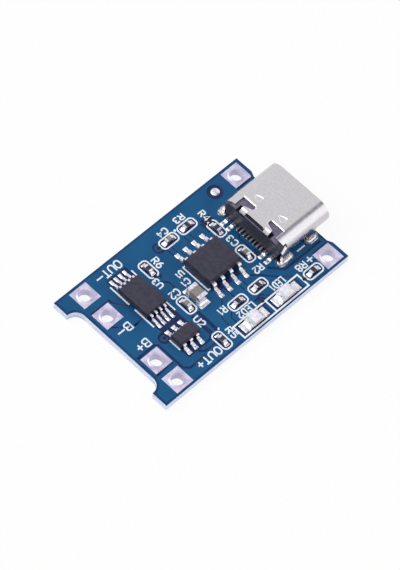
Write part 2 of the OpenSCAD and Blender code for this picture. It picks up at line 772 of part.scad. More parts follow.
// Repeats its children at each lead of a chip, turned so that +X leads away from the body.
module at_leads(chip) {
    n = chip[6];
    for (side = [0, 180], i = [0 : n - 1])
        translate([chip[0], chip[1] + (i - (n - 1) / 2) * chip[7], land_top])
            rotate(side) translate([chip[2] / 2, 0, 0]) children();
}

module chip_leads(chip) {
    reach = (chip[5] - chip[2]) / 2;
    rise = standoff + (chip[4] - standoff) / 2 + chip[9] / 2;
    at_leads(chip) translate([0, chip[8] / 2, 0]) rotate([90, 0, 0])
        linear_extrude(chip[8]) gull_profile(reach, rise, chip[9], chip[10]);
}

// A moulded body: both halves narrow away from the parting line in its middle.
module moulded_profile(w, h) {
    slope = h / 2 * tan(draft);
    polygon([
        [-w / 2 + slope, 0], [w / 2 - slope, 0], [w / 2, h / 2],
        [w / 2 - slope, h], [-w / 2 + slope, h], [-w / 2, h / 2]
    ]);
}

module chip_body(chip) {
    h = chip[4] - standoff;
    color("#413c4b") difference() {
        translate([chip[0], chip[1], land_top + standoff]) intersection() {
            translate([0, chip[3] / 2, 0]) rotate([90, 0, 0])
                linear_extrude(chip[3]) moulded_profile(chip[2], h);
            translate([-chip[2] / 2, 0, 0]) rotate([90, 0, 90])
                linear_extrude(chip[2]) moulded_profile(chip[3], h);
        }
        chip_leads(chip);
    }
}

// Lands under the leads, with the solder that climbs each lead's toe.
module chip_solder(chip) {
    reach = (chip[5] - chip[2]) / 2;
    over = (chip[11] - chip[5]) / 2;
    foot = chip[10] + 0.15;
    color("#e4e4ea") at_leads(chip) {
        block([foot + over, chip[8] + 0.1, land_t], [reach + over - (foot + over) / 2, 0, -land_t]);
        translate([reach, 0, 0]) ramp(over, chip[9] * 0.9, chip[8]);
    }
}

module u1_body() { chip_body(u1); }
module u1_leads() { color("#d8d8dc") chip_leads(u1); }
module u1_solder() { chip_solder(u1); }
module u2_body() { chip_body(u2); }
module u2_leads() { color("#d8d8dc") chip_leads(u2); }
module u2_solder() { chip_solder(u2); }
module u3_body() { chip_body(u3); }
module u3_leads() { color("#d8d8dc") chip_leads(u3); }
module u3_solder() { chip_solder(u3); }

// A block component without its end caps, and the caps that wrap five sides of each end.
module ceramic(l, w, h) {
    block([l - 2 * plating_t, w - 2 * plating_t, h - 2 * plating_t], [0, 0, plating_t]);
}

module end_caps(l, w, h) {
    cap = l * terminal_share;
    difference() {
        for (s = [-1, 1]) block([cap, w, h], [s * (l - cap) / 2, 0, 0]);
        ceramic(l, w, h);
    }
}

function height_of(c) = c[4] == "resistor" ? resistor_h : capacitor_h;

module at_chip(c) {
    translate([c[1], c[2], land_top]) rotate(c[3]) children();
}

module small_body(c) {
    h = height_of(c);
    gap = chip_l * (1 - 2 * terminal_share);
    at_chip(c) if (c[4] == "resistor") {
        color("#2b2830") {
            ceramic(chip_l, chip_w, h);
            block([gap, chip_w * 0.94, plating_t], [0, 0, h - plating_t]);
        }
    } else {
        color("#b3a58f") ceramic(chip_l, chip_w, h);
    }
}

module small_terminals(c) {
    color("#dcdce2") at_chip(c) end_caps(chip_l, chip_w, height_of(c));
}

module c1_body() {
    color("#b3a58f") translate([c1_x, c1_y, land_top]) ceramic(c1_l, c1_w, c1_h);
}

module c1_terminals() {
    color("#dcdce2") translate([c1_x, c1_y, land_top]) end_caps(c1_l, c1_w, c1_h);
}

// Indicator lights: they lie along Y, each on its two lands.
module at_led(l) {
    translate([edge_chip_x, l[1], land_top]) rotate(90) children();
}

module led_substrate() {
    difference() {
        block([led_l - 2 * plating_t, led_w, led_base_t - 2 * plating_t], [0, 0, plating_t]);
        for (s = [-1, 1]) translate([s * led_l / 2, 0, -1]) cylinder(r = led_notch_r + plating_t, h = 3);
    }
}

module led_base(l) {
    color("#eceae2") at_led(l) led_substrate();
}

// Metal over the base's ends, also down the half-round notch in each.
module led_terminals(l) {
    color("#dcdce2") at_led(l) difference() {
        for (s = [-1, 1])
            block([led_terminal_l, led_w, led_base_t], [s * (led_l - led_terminal_l) / 2, 0, 0]);
        led_substrate();
        for (s = [-1, 1]) translate([s * led_l / 2, 0, -1]) cylinder(r = led_notch_r, h = 3);
    }
}

module led_lens(l) {
    h = led_h - led_base_t;
    slope = h * tan(12);
    low = led_base_t - plating_t;
    color("#f4f2fa") at_led(l) translate([0, led_w / 2, 0]) rotate([90, 0, 0]) linear_extrude(led_w)
        polygon([
            [-lens_l / 2, low], [lens_l / 2, low], [lens_l / 2 - slope, led_h], [-lens_l / 2 + slope, led_h]
        ]);
}

// The two lands of a block component, and the solder that climbs its ends.
module land_pair(l, w, h, land_l, land_w, gap) {
    for (side = [0, 180]) rotate(side) {
        block([land_l, land_w, land_t], [gap / 2 + land_l / 2, 0, -land_t]);
        translate([l / 2, 0, 0]) ramp(gap / 2 + land_l - l / 2, h * 0.6, w * 0.9);
    }
}

module small_part_solder() {
    color("#e4e4ea") {
        for (c = CHIPS) at_chip(c)
            land_pair(chip_l, chip_w, height_of(c), chip_land_l, chip_w + 0.1, chip_land_gap);
        translate([c1_x, c1_y, land_top]) land_pair(c1_l, c1_w, c1_h * 0.5, c1_land_l, c1_land_w, 1.0);
        for (l = LEDS) at_led(l)
            land_pair(led_l, led_w, led_base_t, led_land_l, led_w, led_land_gap);
    }
}

// White lines round the small components and the lights, and at the chips' ends.
module printed_line(x0, y0, x1, y1) {
    translate([min(x0, x1) - print_w / 2, min(y0, y1) - print_w / 2])
        square([abs(x1 - x0) + print_w, abs(y1 - y0) + print_w]);
}

module chip_outline(c) {
    translate([c[1], c[2]]) rotate(c[3]) difference() {
        rounded_rect(outline_l, outline_w, outline_r);
        rounded_rect(outline_l - 2 * print_w, outline_w - 2 * print_w, outline_r - print_w);
    }
}

module chip_end_lines() {
    u1_end = u1_y - u1_l / 2 - u1_line_gap;
    printed_line(u1_x - u1_line, u1_end, u1_x + u1_line, u1_end);
    for (s = [-1, 1]) printed_line(u1_x + s * u1_line, u1_end, u1_x + s * u1_line, u1_end + u1_tick);
    u2_end = u2_y - u2_l / 2 - u2_line_gap;
    printed_line(u2_x + u2_line[0], u2_end, u2_x + u2_line[1], u2_end);
    u3_front = u3_y + u3_l / 2 + u3_front_gap;
    for (line = u3_front_lines) printed_line(u3_x + line[0], u3_front, u3_x + line[1], u3_front);
    u3_rear = u3_y - u3_l / 2 - u3_rear_gap;
    for (line = u3_rear_lines) printed_line(u3_x + line[0], u3_rear, u3_x + line[1], u3_rear);
}

module printed_outlines() {
    color("#eef4ff") translate([0, 0, board_top]) linear_extrude(print_t) difference() {
        union() {
            for (c = CHIPS) chip_outline(c);
            for (x = [-1, 1]) translate([edge_chip_x + x * (frame_w - frame_line) / 2 - frame_line / 2, frame_ys[0]])
                square([frame_line, frame_ys[2] - frame_ys[0]]);
            for (y = frame_ys) translate([edge_chip_x - frame_w / 2, y - frame_line / 2])
                square([frame_w, frame_line]);
            chip_end_lines();
            translate([dot_x, dot_y]) circle(dot_r);
        }
        for (p = via_places) translate([p[0], p[1]]) circle(via_d / 2 + via_plating);
    }
}

board();
pad_in_minus();
pad_in_plus();
pad_out_minus();
pad_b_minus();
pad_b_plus();
pad_out_plus();
vias();
test_point();
usb_shell();
usb_housing();
usb_contacts_upper();
usb_contacts_lower();
usb_latch_plate();
usb_leg_solder();
usb_tail_solder();
u1_body();
u1_leads();
u1_solder();
u2_body();
u2_leads();
u2_solder();
u3_body();
u3_leads();
u3_solder();
c1_body();
c1_terminals();
for (c = CHIPS) {
    small_body(c);
    small_terminals(c);
}
for (l = LEDS) {
    led_base(l);
    led_lens(l);
    led_terminals(l);
}
small_part_solder();
printed_outlines();
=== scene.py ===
# Lithium battery charger module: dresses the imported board, its socket, chips, small parts and
# lights. Lengths are in millimetres unless a comment says otherwise; the frame itself is in metres.
import math

import bpy
from mathutils import Matrix, Vector


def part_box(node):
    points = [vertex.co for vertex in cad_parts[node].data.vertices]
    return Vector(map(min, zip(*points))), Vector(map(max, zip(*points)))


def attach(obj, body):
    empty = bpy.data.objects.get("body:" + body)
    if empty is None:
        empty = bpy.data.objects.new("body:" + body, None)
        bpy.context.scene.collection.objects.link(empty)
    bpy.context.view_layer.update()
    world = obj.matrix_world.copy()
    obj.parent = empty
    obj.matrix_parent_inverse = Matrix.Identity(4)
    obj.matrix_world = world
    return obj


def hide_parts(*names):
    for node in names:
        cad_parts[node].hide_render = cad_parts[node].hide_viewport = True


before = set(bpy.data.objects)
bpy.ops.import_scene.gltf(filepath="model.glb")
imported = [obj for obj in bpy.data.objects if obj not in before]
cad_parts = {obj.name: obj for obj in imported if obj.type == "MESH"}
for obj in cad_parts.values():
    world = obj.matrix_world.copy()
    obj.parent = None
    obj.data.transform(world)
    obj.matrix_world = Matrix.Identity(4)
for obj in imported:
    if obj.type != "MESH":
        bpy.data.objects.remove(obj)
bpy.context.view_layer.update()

MM = 0.001
HALF_W, HALF_L, BOARD_TOP = (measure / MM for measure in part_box("board")[1])
# The components, by what the names of their nodes begin with; c1 is the large capacitor.
CHIPS = ["u1", "u2", "u3"]
RESISTORS = ["r1", "r2", "r3", "r4", "r5", "r6", "r8"]
SMALL_CAPACITORS = ["c2", "c3", "c4"]
CAPACITORS = ["c1"] + SMALL_CAPACITORS
LIGHTS = ["led1", "led2"]

# Camera: where it stands round the board, and how far the view's middle lies from the board's.
VIEW_AZIMUTH = 38.342
VIEW_ELEVATION = 57.802
VIEW_ROLL = 7.965
VIEW_DISTANCE = 396.1
VIEW_OFFSET = (0.246, 0.634)
FOCAL_LENGTH = 230.7
SENSOR = 36.0
CLIP_START = 20.0


# Studio

def unit(azimuth, elevation):
    """The direction from the board to a place round it: azimuth 0 is -Y, 90 is +X."""
    a, e = math.radians(azimuth), math.radians(elevation)
    return Vector((math.sin(a) * math.cos(e), -math.cos(a) * math.cos(e), math.sin(e)))


def set_camera():
    back = unit(VIEW_AZIMUTH, VIEW_ELEVATION)
    level = Vector((0, 0, 1)).cross(back).normalized()
    rise = back.cross(level)
    roll = math.radians(VIEW_ROLL)
    right = math.cos(roll) * level + math.sin(roll) * rise
    up = math.cos(roll) * rise - math.sin(roll) * level
    place = VIEW_DISTANCE * back - VIEW_OFFSET[0] * right - VIEW_OFFSET[1] * up
    place.z += BOARD_TOP
    data = bpy.data.cameras.new("photo_camera")
    data.lens = FOCAL_LENGTH
    data.sensor_width = SENSOR
    data.clip_start = CLIP_START * MM
    camera = bpy.data.objects.new("photo_camera", data)
    turn = Matrix((right, up, back)).transposed().to_4x4()
    camera.matrix_world = Matrix.Translation(place * MM) @ turn
    bpy.context.collection.objects.link(camera)
    bpy.context.scene.camera = camera


# Name, azimuth, elevation, distance and size in metres, power in watts, and whether metal mirrors it.
LAMPS = [("key", -60, 50, 0.5, 0.4, 1.4, True), ("fill", 117, 28, 0.5, 0.32, 0.5, False)]


def softbox(name, azimuth, elevation, distance, size, power, mirrored):
    """A square lamp that looks at the middle of the board."""
    data = bpy.data.lights.new(name, "AREA")
    data.shape = "SQUARE"
    data.size = size
    data.energy = power
    lamp = bpy.data.objects.new(name, data)
    away = unit(azimuth, elevation)
    turn = away.to_track_quat("Z", "Y").to_matrix().to_4x4()
    lamp.matrix_world = Matrix.Translation(away * distance) @ turn
    lamp.visible_glossy = mirrored
    bpy.context.collection.objects.link(lamp)


def tone(red, green, blue):
    """A colour as it looks on a screen, 0 to 255, as the linear colour that a shader takes."""
    def linear(value):
        v = value / 255
        return v / 12.92 if v <= 0.04045 else ((v + 0.055) / 1.055) ** 2.4
    return (linear(red), linear(green), linear(blue), 1.0)


def feed(tree, socket, value):
    """Links a value that comes from a node, and sets any other."""
    if isinstance(value, bpy.types.NodeSocket):
        tree.links.new(value, socket)
    else:
        socket.default_value = value


def add(tree, kind, **inputs):
    """A shader node with its inputs fed; an underscore stands for a space."""
    made = tree.nodes.new(kind)
    for key, value in inputs.items():
        feed(tree, made.inputs[key.replace("_", " ")], value)
    return made


def compute(tree, operation, first, second=0.0, clamp=False):
    made = tree.nodes.new("ShaderNodeMath")
    made.operation = operation
    made.use_clamp = clamp
    feed(tree, made.inputs[0], first)
    feed(tree, made.inputs[1], second)
    return made.outputs[0]


def blend_colours(tree, factor, first, second):
    made = tree.nodes.new("ShaderNodeMix")
    made.data_type = "RGBA"
    for index, value in ((0, factor), (6, first), (7, second)):
        feed(tree, made.inputs[index], value)
    return made.outputs[2]


def remap(tree, value, low, high, to_low=0.0, to_high=1.0):
    made = add(tree, "ShaderNodeMapRange", Value=value, From_Min=low, From_Max=high,
               To_Min=to_low, To_Max=to_high)
    made.interpolation_type = "SMOOTHSTEP"
    return made.outputs["Result"]


def round_patch(tree, way, middle, core, edge):
    """One round a direction, falling to nothing between two angles in degrees."""
    dot = tree.nodes.new("ShaderNodeVectorMath")
    dot.operation = "DOT_PRODUCT"
    tree.links.new(way, dot.inputs[0])
    dot.inputs[1].default_value = Vector(middle).normalized()
    return remap(tree, dot.outputs["Value"], math.cos(math.radians(edge)), math.cos(math.radians(core)))


def grey(level):
    return (level, level, level, 1)


# How bright the world is as light, as a mirror image, and in the bright patch; then the way to each
# patch, and the angles from its middle in degrees between which it fades.
WORLD_LEVEL = 0.55
GLOSS_LEVEL = 0.97
BRIGHT_LEVEL = 1.5
BRIGHT_PATCH = (0.78, 0.42, 0.45)
BRIGHT_CORE = 22
BRIGHT_EDGE = 44
DIM_PATCH = (0.15, 0.42, 0.895)
DIM_TONE = (0.3, 0.28, 0.34, 1)
DIM_CORE = 5
DIM_EDGE = 20


def set_world():
    """Even white light. Bright metal also mirrors a bright patch at the right and a dim patch
    overhead, which draw the white and the grey band along the shell."""
    world = bpy.data.worlds.new("studio")
    bpy.context.scene.world = world
    world.use_nodes = True
    tree = world.node_tree
    tree.nodes.clear()
    path = tree.nodes.new("ShaderNodeLightPath")
    where = tree.nodes.new("ShaderNodeTexCoord")
    way = where.outputs["Generated"]
    bright = round_patch(tree, way, BRIGHT_PATCH, BRIGHT_CORE, BRIGHT_EDGE)
    dim = round_patch(tree, way, DIM_PATCH, DIM_CORE, DIM_EDGE)
    shown = compute(tree, "ADD", path.outputs["Is Camera Ray"], path.outputs["Is Transmission Ray"],
                    clamp=True)
    glossy = blend_colours(tree, bright, grey(GLOSS_LEVEL), grey(BRIGHT_LEVEL))
    glossy = blend_colours(tree, dim, glossy, DIM_TONE)
    lit = blend_colours(tree, path.outputs["Is Glossy Ray"], grey(WORLD_LEVEL), glossy)
    colour = blend_colours(tree, shown, lit, grey(1))
    background = add(tree, "ShaderNodeBackground", Color=colour, Strength=1.0)
    out = tree.nodes.new("ShaderNodeOutputWorld")
    tree.links.new(background.outputs[0], out.inputs["Surface"])


# The floor, a hair under the board, with its side in metres, and the share of what the camera sees
# of it that is plain white.
FLOOR_GAP = 0.05
FLOOR_SIDE = 4
FLOOR_WHITE = 0.9


def make_floor():
    """A white sheet under the board that keeps only a faint shadow."""
    bpy.ops.mesh.primitive_plane_add(size=FLOOR_SIDE, location=(0, 0, -FLOOR_GAP * MM))
    floor = bpy.context.object
    floor.name = "floor"
    material = bpy.data.materials.new("white_sheet")
    material.use_nodes = True
    tree = material.node_tree
    tree.nodes.clear()
    path = tree.nodes.new("ShaderNodeLightPath")
    paper = add(tree, "ShaderNodeBsdfDiffuse", Color=grey(0.9))
    glow = add(tree, "ShaderNodeEmission", Color=grey(1), Strength=1.0)
    seen = compute(tree, "MAXIMUM", path.outputs["Is Camera Ray"], path.outputs["Is Glossy Ray"])
    share = compute(tree, "MULTIPLY", seen, FLOOR_WHITE)
    mix = tree.nodes.new("ShaderNodeMixShader")
    out = tree.nodes.new("ShaderNodeOutputMaterial")
    tree.links.new(share, mix.inputs[0])
    tree.links.new(paper.outputs[0], mix.inputs[1])
    tree.links.new(glow.outputs[0], mix.inputs[2])
    tree.links.new(mix.outputs[0], out.inputs["Surface"])
    floor.data.materials.append(material)


# Shared surface effects

def new_group(name, inputs, outputs):
    group = bpy.data.node_groups.new(name, "ShaderNodeTree")
    for label, kind in inputs:
        group.interface.new_socket(label, in_out="INPUT", socket_type=kind)
    for label, kind in outputs:
        group.interface.new_socket(label, in_out="OUTPUT", socket_type=kind)
    return group, group.nodes.new("NodeGroupInput").outputs, group.nodes.new("NodeGroupOutput").inputs


def make_mottle():
    """Soft patches between two colours."""
    group, given, result = new_group(
        "mottle",
        [("Scale", "NodeSocketFloat"), ("First", "NodeSocketColor"), ("Second", "NodeSocketColor")],
        [("Color", "NodeSocketColor"), ("Mask", "NodeSocketFloat")])
    where = group.nodes.new("ShaderNodeTexCoord")
    noise = add(group, "ShaderNodeTexNoise", Vector=where.outputs["Object"], Scale=given["Scale"],
                Detail=3.0)
    mask = remap(group, noise.outputs["Fac"], 0.32, 0.68)
    colour = blend_colours(group, mask, given["First"], given["Second"])
    group.links.new(colour, result["Color"])
    group.links.new(mask, result["Mask"])
    return group


def make_grain():
    """A fine uneven surface, as a normal and as a mask."""
    group, given, result = new_group(
        "grain",
        [("Scale", "NodeSocketFloat"), ("Strength", "NodeSocketFloat"), ("Depth", "NodeSocketFloat")],
        [("Normal", "NodeSocketVector"), ("Mask", "NodeSocketFloat")])
    where = group.nodes.new("ShaderNodeTexCoord")
    noise = add(group, "ShaderNodeTexNoise", Vector=where.outputs["Object"], Scale=given["Scale"],
                Detail=2.0)
    bump = add(group, "ShaderNodeBump", Height=noise.outputs["Fac"], Strength=given["Strength"],
               Distance=given["Depth"])
    group.links.new(bump.outputs["Normal"], result["Normal"])
    group.links.new(noise.outputs["Fac"], result["Mask"])
    return group


def make_streaks():
    """Fine streaks: noise drawn out along the direction where Stretch is small."""
    group, given, result = new_group(
        "streaks",
        [("Stretch", "NodeSocketVector"), ("First", "NodeSocketColor"), ("Second", "NodeSocketColor")],
        [("Color", "NodeSocketColor"), ("Mask", "NodeSocketFloat")])
    where = group.nodes.new("ShaderNodeTexCoord")
    mapping = add(group, "ShaderNodeMapping", Vector=where.outputs["Object"], Scale=given["Stretch"])
    noise = add(group, "ShaderNodeTexNoise", Vector=mapping.outputs["Vector"], Scale=1.0, Detail=3.0)
    mask = remap(group, noise.outputs["Fac"], 0.3, 0.7)
    colour = blend_colours(group, mask, given["First"], given["Second"])
    group.links.new(colour, result["Color"])
    group.links.new(mask, result["Mask"])
    return group


MOTTLE = make_mottle()
GRAIN = make_grain()
STREAKS = make_streaks()


def effect(tree, group, **inputs):
    made = tree.nodes.new("ShaderNodeGroup")
    made.node_tree = group
    for key, value in inputs.items():
        feed(tree, made.inputs[key], value)
    return made.outputs


def new_finish(name, **sockets):
    material = bpy.data.materials.new(name)
    material.use_nodes = True
    shader = material.node_tree.nodes["Principled BSDF"]
    for key, value in sockets.items():
        shader.inputs[key.replace("_", " ")].default_value = value
    return material, material.node_tree, shader.inputs


def mottled_finish(name, first, second, patch, rough, grain, strength, depth=0.01, **sockets):
    """Two tones in patches of a size in mm, a roughness that follows them, and a grain's bump."""
    material, tree, shader = new_finish(name, **sockets)
    mottle = effect(tree, MOTTLE, Scale=1 / (patch * MM), First=tone(*first), Second=tone(*second))
    relief = effect(tree, GRAIN, Scale=1 / (grain * MM), Strength=strength, Depth=depth * MM)
    tree.links.new(mottle["Color"], shader["Base Color"])
    tree.links.new(remap(tree, mottle["Mask"], 0, 1, rough[0], rough[1]), shader["Roughness"])
    tree.links.new(relief["Normal"], shader["Normal"])
    return material


def object_axis(tree, axis):
    where = tree.nodes.new("ShaderNodeTexCoord")
    split = add(tree, "ShaderNodeSeparateXYZ", Vector=where.outputs["Object"])
    return split.outputs[axis]


def near(tree, value, place, reach):
    """One at a place along an axis, falling to nothing at its reach."""
    away = compute(tree, "ABSOLUTE", compute(tree, "SUBTRACT", value, place))
    return compute(tree, "SUBTRACT", 1.0, compute(tree, "DIVIDE", away, reach), clamp=True)


def laminate_edge():
    """The sawn edge of the glass laminate: pale layers, with the blue mask's edge at the top."""
    material, tree, shader = new_finish("laminate_edge", Metallic=0.0)
    layers = effect(tree, STREAKS, Stretch=(900, 900, 9000), First=tone(204, 215, 250),
                    Second=tone(240, 246, 255))
    height = object_axis(tree, "Z")
    top = remap(tree, height, (BOARD_TOP - 0.09) * MM, (BOARD_TOP - 0.05) * MM)
    colour = blend_colours(tree, top, layers["Color"], tone(96, 128, 176))
    tree.links.new(colour, shader["Base Color"])
    tree.links.new(remap(tree, layers["Mask"], 0, 1, 0.55, 0.8), shader["Roughness"])
    relief = effect(tree, GRAIN, Scale=9000, Strength=0.5, Depth=0.02 * MM)
    tree.links.new(relief["Normal"], shader["Normal"])
    return material


def contact_finish():
    """Gold on the blades in the mouth, tin on the tails behind the housing."""
    material, tree, shader = new_finish("contact_finish", Metallic=1.0)
    gold = effect(tree, MOTTLE, Scale=2500, First=tone(214, 170, 84), Second=tone(236, 200, 120))
    tin = effect(tree, STREAKS, Stretch=(6000, 800, 2000), First=tone(136, 130, 130),
                 Second=tone(216, 210, 204))
    inside = remap(tree, object_axis(tree, "Y"), TAIL_FRONT * MM, (TAIL_FRONT + 0.3) * MM)
    colour = blend_colours(tree, inside, tin["Color"], gold["Color"])
    tree.links.new(colour, shader["Base Color"])
    tree.links.new(remap(tree, tin["Mask"], 0, 1, 0.22, 0.36), shader["Roughness"])
    return material


def resistor_finish():
    """Black glass over the top, pale ceramic at the sides."""
    material, tree, shader = new_finish("resistor_finish", Metallic=0.0)
    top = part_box("r1_body")[1][2]
    glass = effect(tree, MOTTLE, Scale=4000, First=tone(30, 28, 36), Second=tone(48, 44, 56))
    ceramic = effect(tree, MOTTLE, Scale=6000, First=tone(120, 114, 134), Second=tone(150, 146, 164))
    over = remap(tree, object_axis(tree, "Z"), top - 0.06 * MM, top - 0.04 * MM)
    tree.links.new(blend_colours(tree, over, ceramic["Color"], glass["Color"]), shader["Base Color"])
    tree.links.new(remap(tree, glass["Mask"], 0, 1, 0.25, 0.42), shader["Roughness"])
    return material


def lens_finish():
    """Milky resin, tinted green near the ends where the lit chip's leads lie."""
    material, tree, shader = new_finish("lens_finish", Metallic=0.0, Subsurface_Weight=0.3,
                                        Subsurface_Scale=0.3 * MM, Coat_Weight=0.3)
    milk = effect(tree, MOTTLE, Scale=2200, First=tone(226, 222, 236), Second=tone(246, 244, 252))
    green = effect(tree, MOTTLE, Scale=9000, First=tone(236, 240, 244), Second=tone(150, 214, 190))
    ends = [near(tree, object_axis(tree, "Y"), place * MM, 0.3 * MM) for place in LENS_GREEN_YS]
    tinted = compute(tree, "MAXIMUM", *ends)
    tree.links.new(blend_colours(tree, tinted, milk["Color"], green["Color"]), shader["Base Color"])
    tree.links.new(remap(tree, milk["Mask"], 0, 1, 0.16, 0.3), shader["Roughness"])
    return material


def tail_solder_finish():
    """Bright solder on the wide lands, thin dull solder on the narrow ones between them."""
    material, tree, shader = new_finish("tail_solder", Metallic=1.0)
    bright = effect(tree, MOTTLE, Scale=3300, First=tone(206, 205, 216), Second=tone(244, 243, 250))
    dull = effect(tree, MOTTLE, Scale=5000, First=tone(96, 90, 92), Second=tone(176, 166, 150))
    inner = near(tree, object_axis(tree, "X"), SOCKET_X * MM, 2.1 * MM)
    narrow = remap(tree, inner, 0.0, 0.04)
    tree.links.new(blend_colours(tree, narrow, bright["Color"], dull["Color"]), shader["Base Color"])
    tree.links.new(remap(tree, bright["Mask"], 0, 1, 0.16, 0.32), shader["Roughness"])
    return material


def housing_finish():
    """Black satin moulding, darker behind; its top faces, where the shell's slots show it, are painted a
    lighter violet-grey as a painted sheen.
    """
    material, tree, shader = new_finish("black_moulding", Metallic=0.0)
    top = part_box("usb_housing")[1][2]
    dark = effect(tree, MOTTLE, Scale=2500, First=tone(30, 31, 44), Second=tone(50, 48, 64))
    light = effect(tree, MOTTLE, Scale=2000, First=tone(92, 88, 110), Second=tone(112, 106, 132))
    # Painted sheen: faces within 0.3 mm of the top blend into the lighter violet-grey.
    over = remap(tree, object_axis(tree, "Z"), top - 0.3 * MM, top - 0.02 * MM)
    tree.links.new(blend_colours(tree, over, dark["Color"], light["Color"]), shader["Base Color"])
    tree.links.new(remap(tree, dark["Mask"], 0, 1, 0.4, 0.6), shader["Roughness"])
    relief = effect(tree, GRAIN, Scale=16000, Strength=0.4, Depth=0.01 * MM)
    tree.links.new(relief["Normal"], shader["Normal"])
    return material


# Where the contacts turn from tin to gold, the shell's length, the socket's middle, the shell's rear
# edge, and the green ends of the lights.
TAIL_FRONT = 8.3
SHELL_LENGTH = 7.3
SOCKET_X = (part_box("usb_shell")[0][0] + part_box("usb_shell")[1][0]) / 2 / MM
SHELL_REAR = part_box("usb_shell")[1][1] / MM - SHELL_LENGTH
LENS_GREEN_YS = (6.05, -0.2)

# Each finish: name, its two tones, size of a patch, roughness from the one tone to the other, size
# of the grain, and the strength and depth of the grain's bump.
MASK_COPPER = mottled_finish("mask_over_copper", (9, 78, 125), (17, 86, 133), 3.5, (0.28, 0.34), 0.5, 0.12,
                             Specular_IOR_Level=0.2)
MASK_BARE = mottled_finish("mask_over_laminate", (16, 34, 78), (24, 46, 92), 1.2, (0.3, 0.42), 0.3, 0.15,
                           Specular_IOR_Level=0.2)
MASK_MARGIN = mottled_finish("mask_at_margin", (8, 56, 100), (16, 68, 116), 1.2, (0.3, 0.42), 0.3, 0.15,
                             Specular_IOR_Level=0.2)
EDGE = laminate_edge()
PAD = mottled_finish("tinned_pad", (186, 180, 208), (214, 208, 232), 0.8, (0.3, 0.42), 0.5, 0.35, 0.02,
                     Metallic=0.55)
# The vias' mask is darkened to near-black: painted shade of the holes.
VIA_MASK_AND_SHADE = mottled_finish("masked_via_painted_shade", (6, 8, 18), (14, 18, 36), 0.3, (0.5, 0.65), 0.1, 0.3)
SHELL = mottled_finish("shell_steel", (201, 199, 203), (209, 207, 210), 0.25, (0.23, 0.27), 0.1, 0.5,
                       0.004, Metallic=1.0)
# The slot rims' chamfers take a brighter, patchy steel: a painted highlight on top of the light they
# really catch.
SHELL_RIM_HIGHLIGHT = mottled_finish("rim_steel_painted_highlight", (196, 195, 200), (232, 231, 235), 0.2, (0.22, 0.34), 0.1, 0.3,
                           0.004, Metallic=1.0)
# The dimple rims take a brighter, mottled steel: painted highlight round the dimples.
SHELL_DIMPLE_HIGHLIGHT = mottled_finish("dimple_rim_painted_highlight", (218, 217, 221), (244, 243, 246), 0.25, (0.2, 0.3), 0.1, 0.3,
                              0.004, Metallic=1.0)
# Darker steel for the bent arms: painted shade.
SHELL_ARM_SHADE = mottled_finish("bent_arm_painted_shade", (158, 156, 158), (176, 174, 176), 0.25, (0.3, 0.38), 0.1, 0.4,
                           0.004, Metallic=1.0)
HOUSING = housing_finish()
CONTACT = contact_finish()
PLATE = mottled_finish("latch_plate", (150, 150, 156), (178, 178, 184), 0.6, (0.25, 0.4), 0.1, 0.2,
                       Metallic=1.0)
MOULDING = mottled_finish("chip_moulding", (42, 41, 57), (55, 53, 70), 0.5, (0.42, 0.58), 0.05, 0.45,
                          Specular_IOR_Level=0.35)
LEAD = mottled_finish("tinned_lead", (196, 194, 204), (240, 238, 246), 0.25, (0.2, 0.34), 0.12, 0.3,
                      Metallic=1.0)
SOLDER = mottled_finish("solder", (206, 205, 216), (244, 243, 250), 0.3, (0.14, 0.28), 0.2, 0.3,
                        Metallic=1.0)
LEG_SOLDER = mottled_finish("leg_solder", (172, 168, 162), (236, 234, 240), 0.3, (0.16, 0.32), 0.2, 0.35,
                            0.02, Metallic=1.0)
TAIL_SOLDER = tail_solder_finish()
RESISTOR = resistor_finish()
CERAMIC = mottled_finish("capacitor_ceramic", (126, 119, 116), (146, 138, 133), 0.25, (0.45, 0.6), 0.08,
                         0.3)
LIGHT_BASE = mottled_finish("light_base", (214, 210, 206), (236, 234, 230), 0.4, (0.5, 0.65), 0.1, 0.2)
LENS = lens_finish()
PRINT = mottled_finish("white_print", (224, 234, 246), (246, 250, 255), 0.2, (0.55, 0.7), 0.06, 0.3)


# Working on pieces

# Points nearer than this are one point, and faces nearer than this to a level lie on it.
HAIR = 0.0005
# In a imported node, points nearer than this are one point, and faces that turn less than this angle
# in degrees are one face.
PACKED_REACH = 0.0002
PACKED_TURN = 0.6


def take(*pieces):
    bpy.ops.object.select_all(action="DESELECT")
    for piece in pieces:
        piece.select_set(True)
    bpy.context.view_layer.objects.active = pieces[0]


def modify(piece, kind, **settings):
    take(piece)
    modifier = piece.modifiers.new(kind.lower(), kind)
    for key, value in settings.items():
        setattr(modifier, key, value)
    bpy.ops.object.modifier_apply(modifier=modifier.name)


def join(pieces, name):
    take(*pieces)
    if len(pieces) > 1:
        bpy.ops.object.join()
    joined = bpy.context.object
    joined.name = name
    return joined


def smooth(piece, angle):
    """Smooth shading over every edge that turns less than the angle in degrees."""
    take(piece)
    bpy.ops.object.shade_smooth_by_angle(angle=math.radians(angle))


def close_up(piece):
    """Joins the points that lie on each other, and turns all faces outward."""
    take(piece)
    bpy.ops.object.mode_set(mode="EDIT")
    bpy.ops.mesh.select_all(action="SELECT")
    bpy.ops.mesh.remove_doubles(threshold=HAIR * MM)
    bpy.ops.mesh.normals_make_consistent(inside=False)
    bpy.ops.object.mode_set(mode="OBJECT")
    return piece


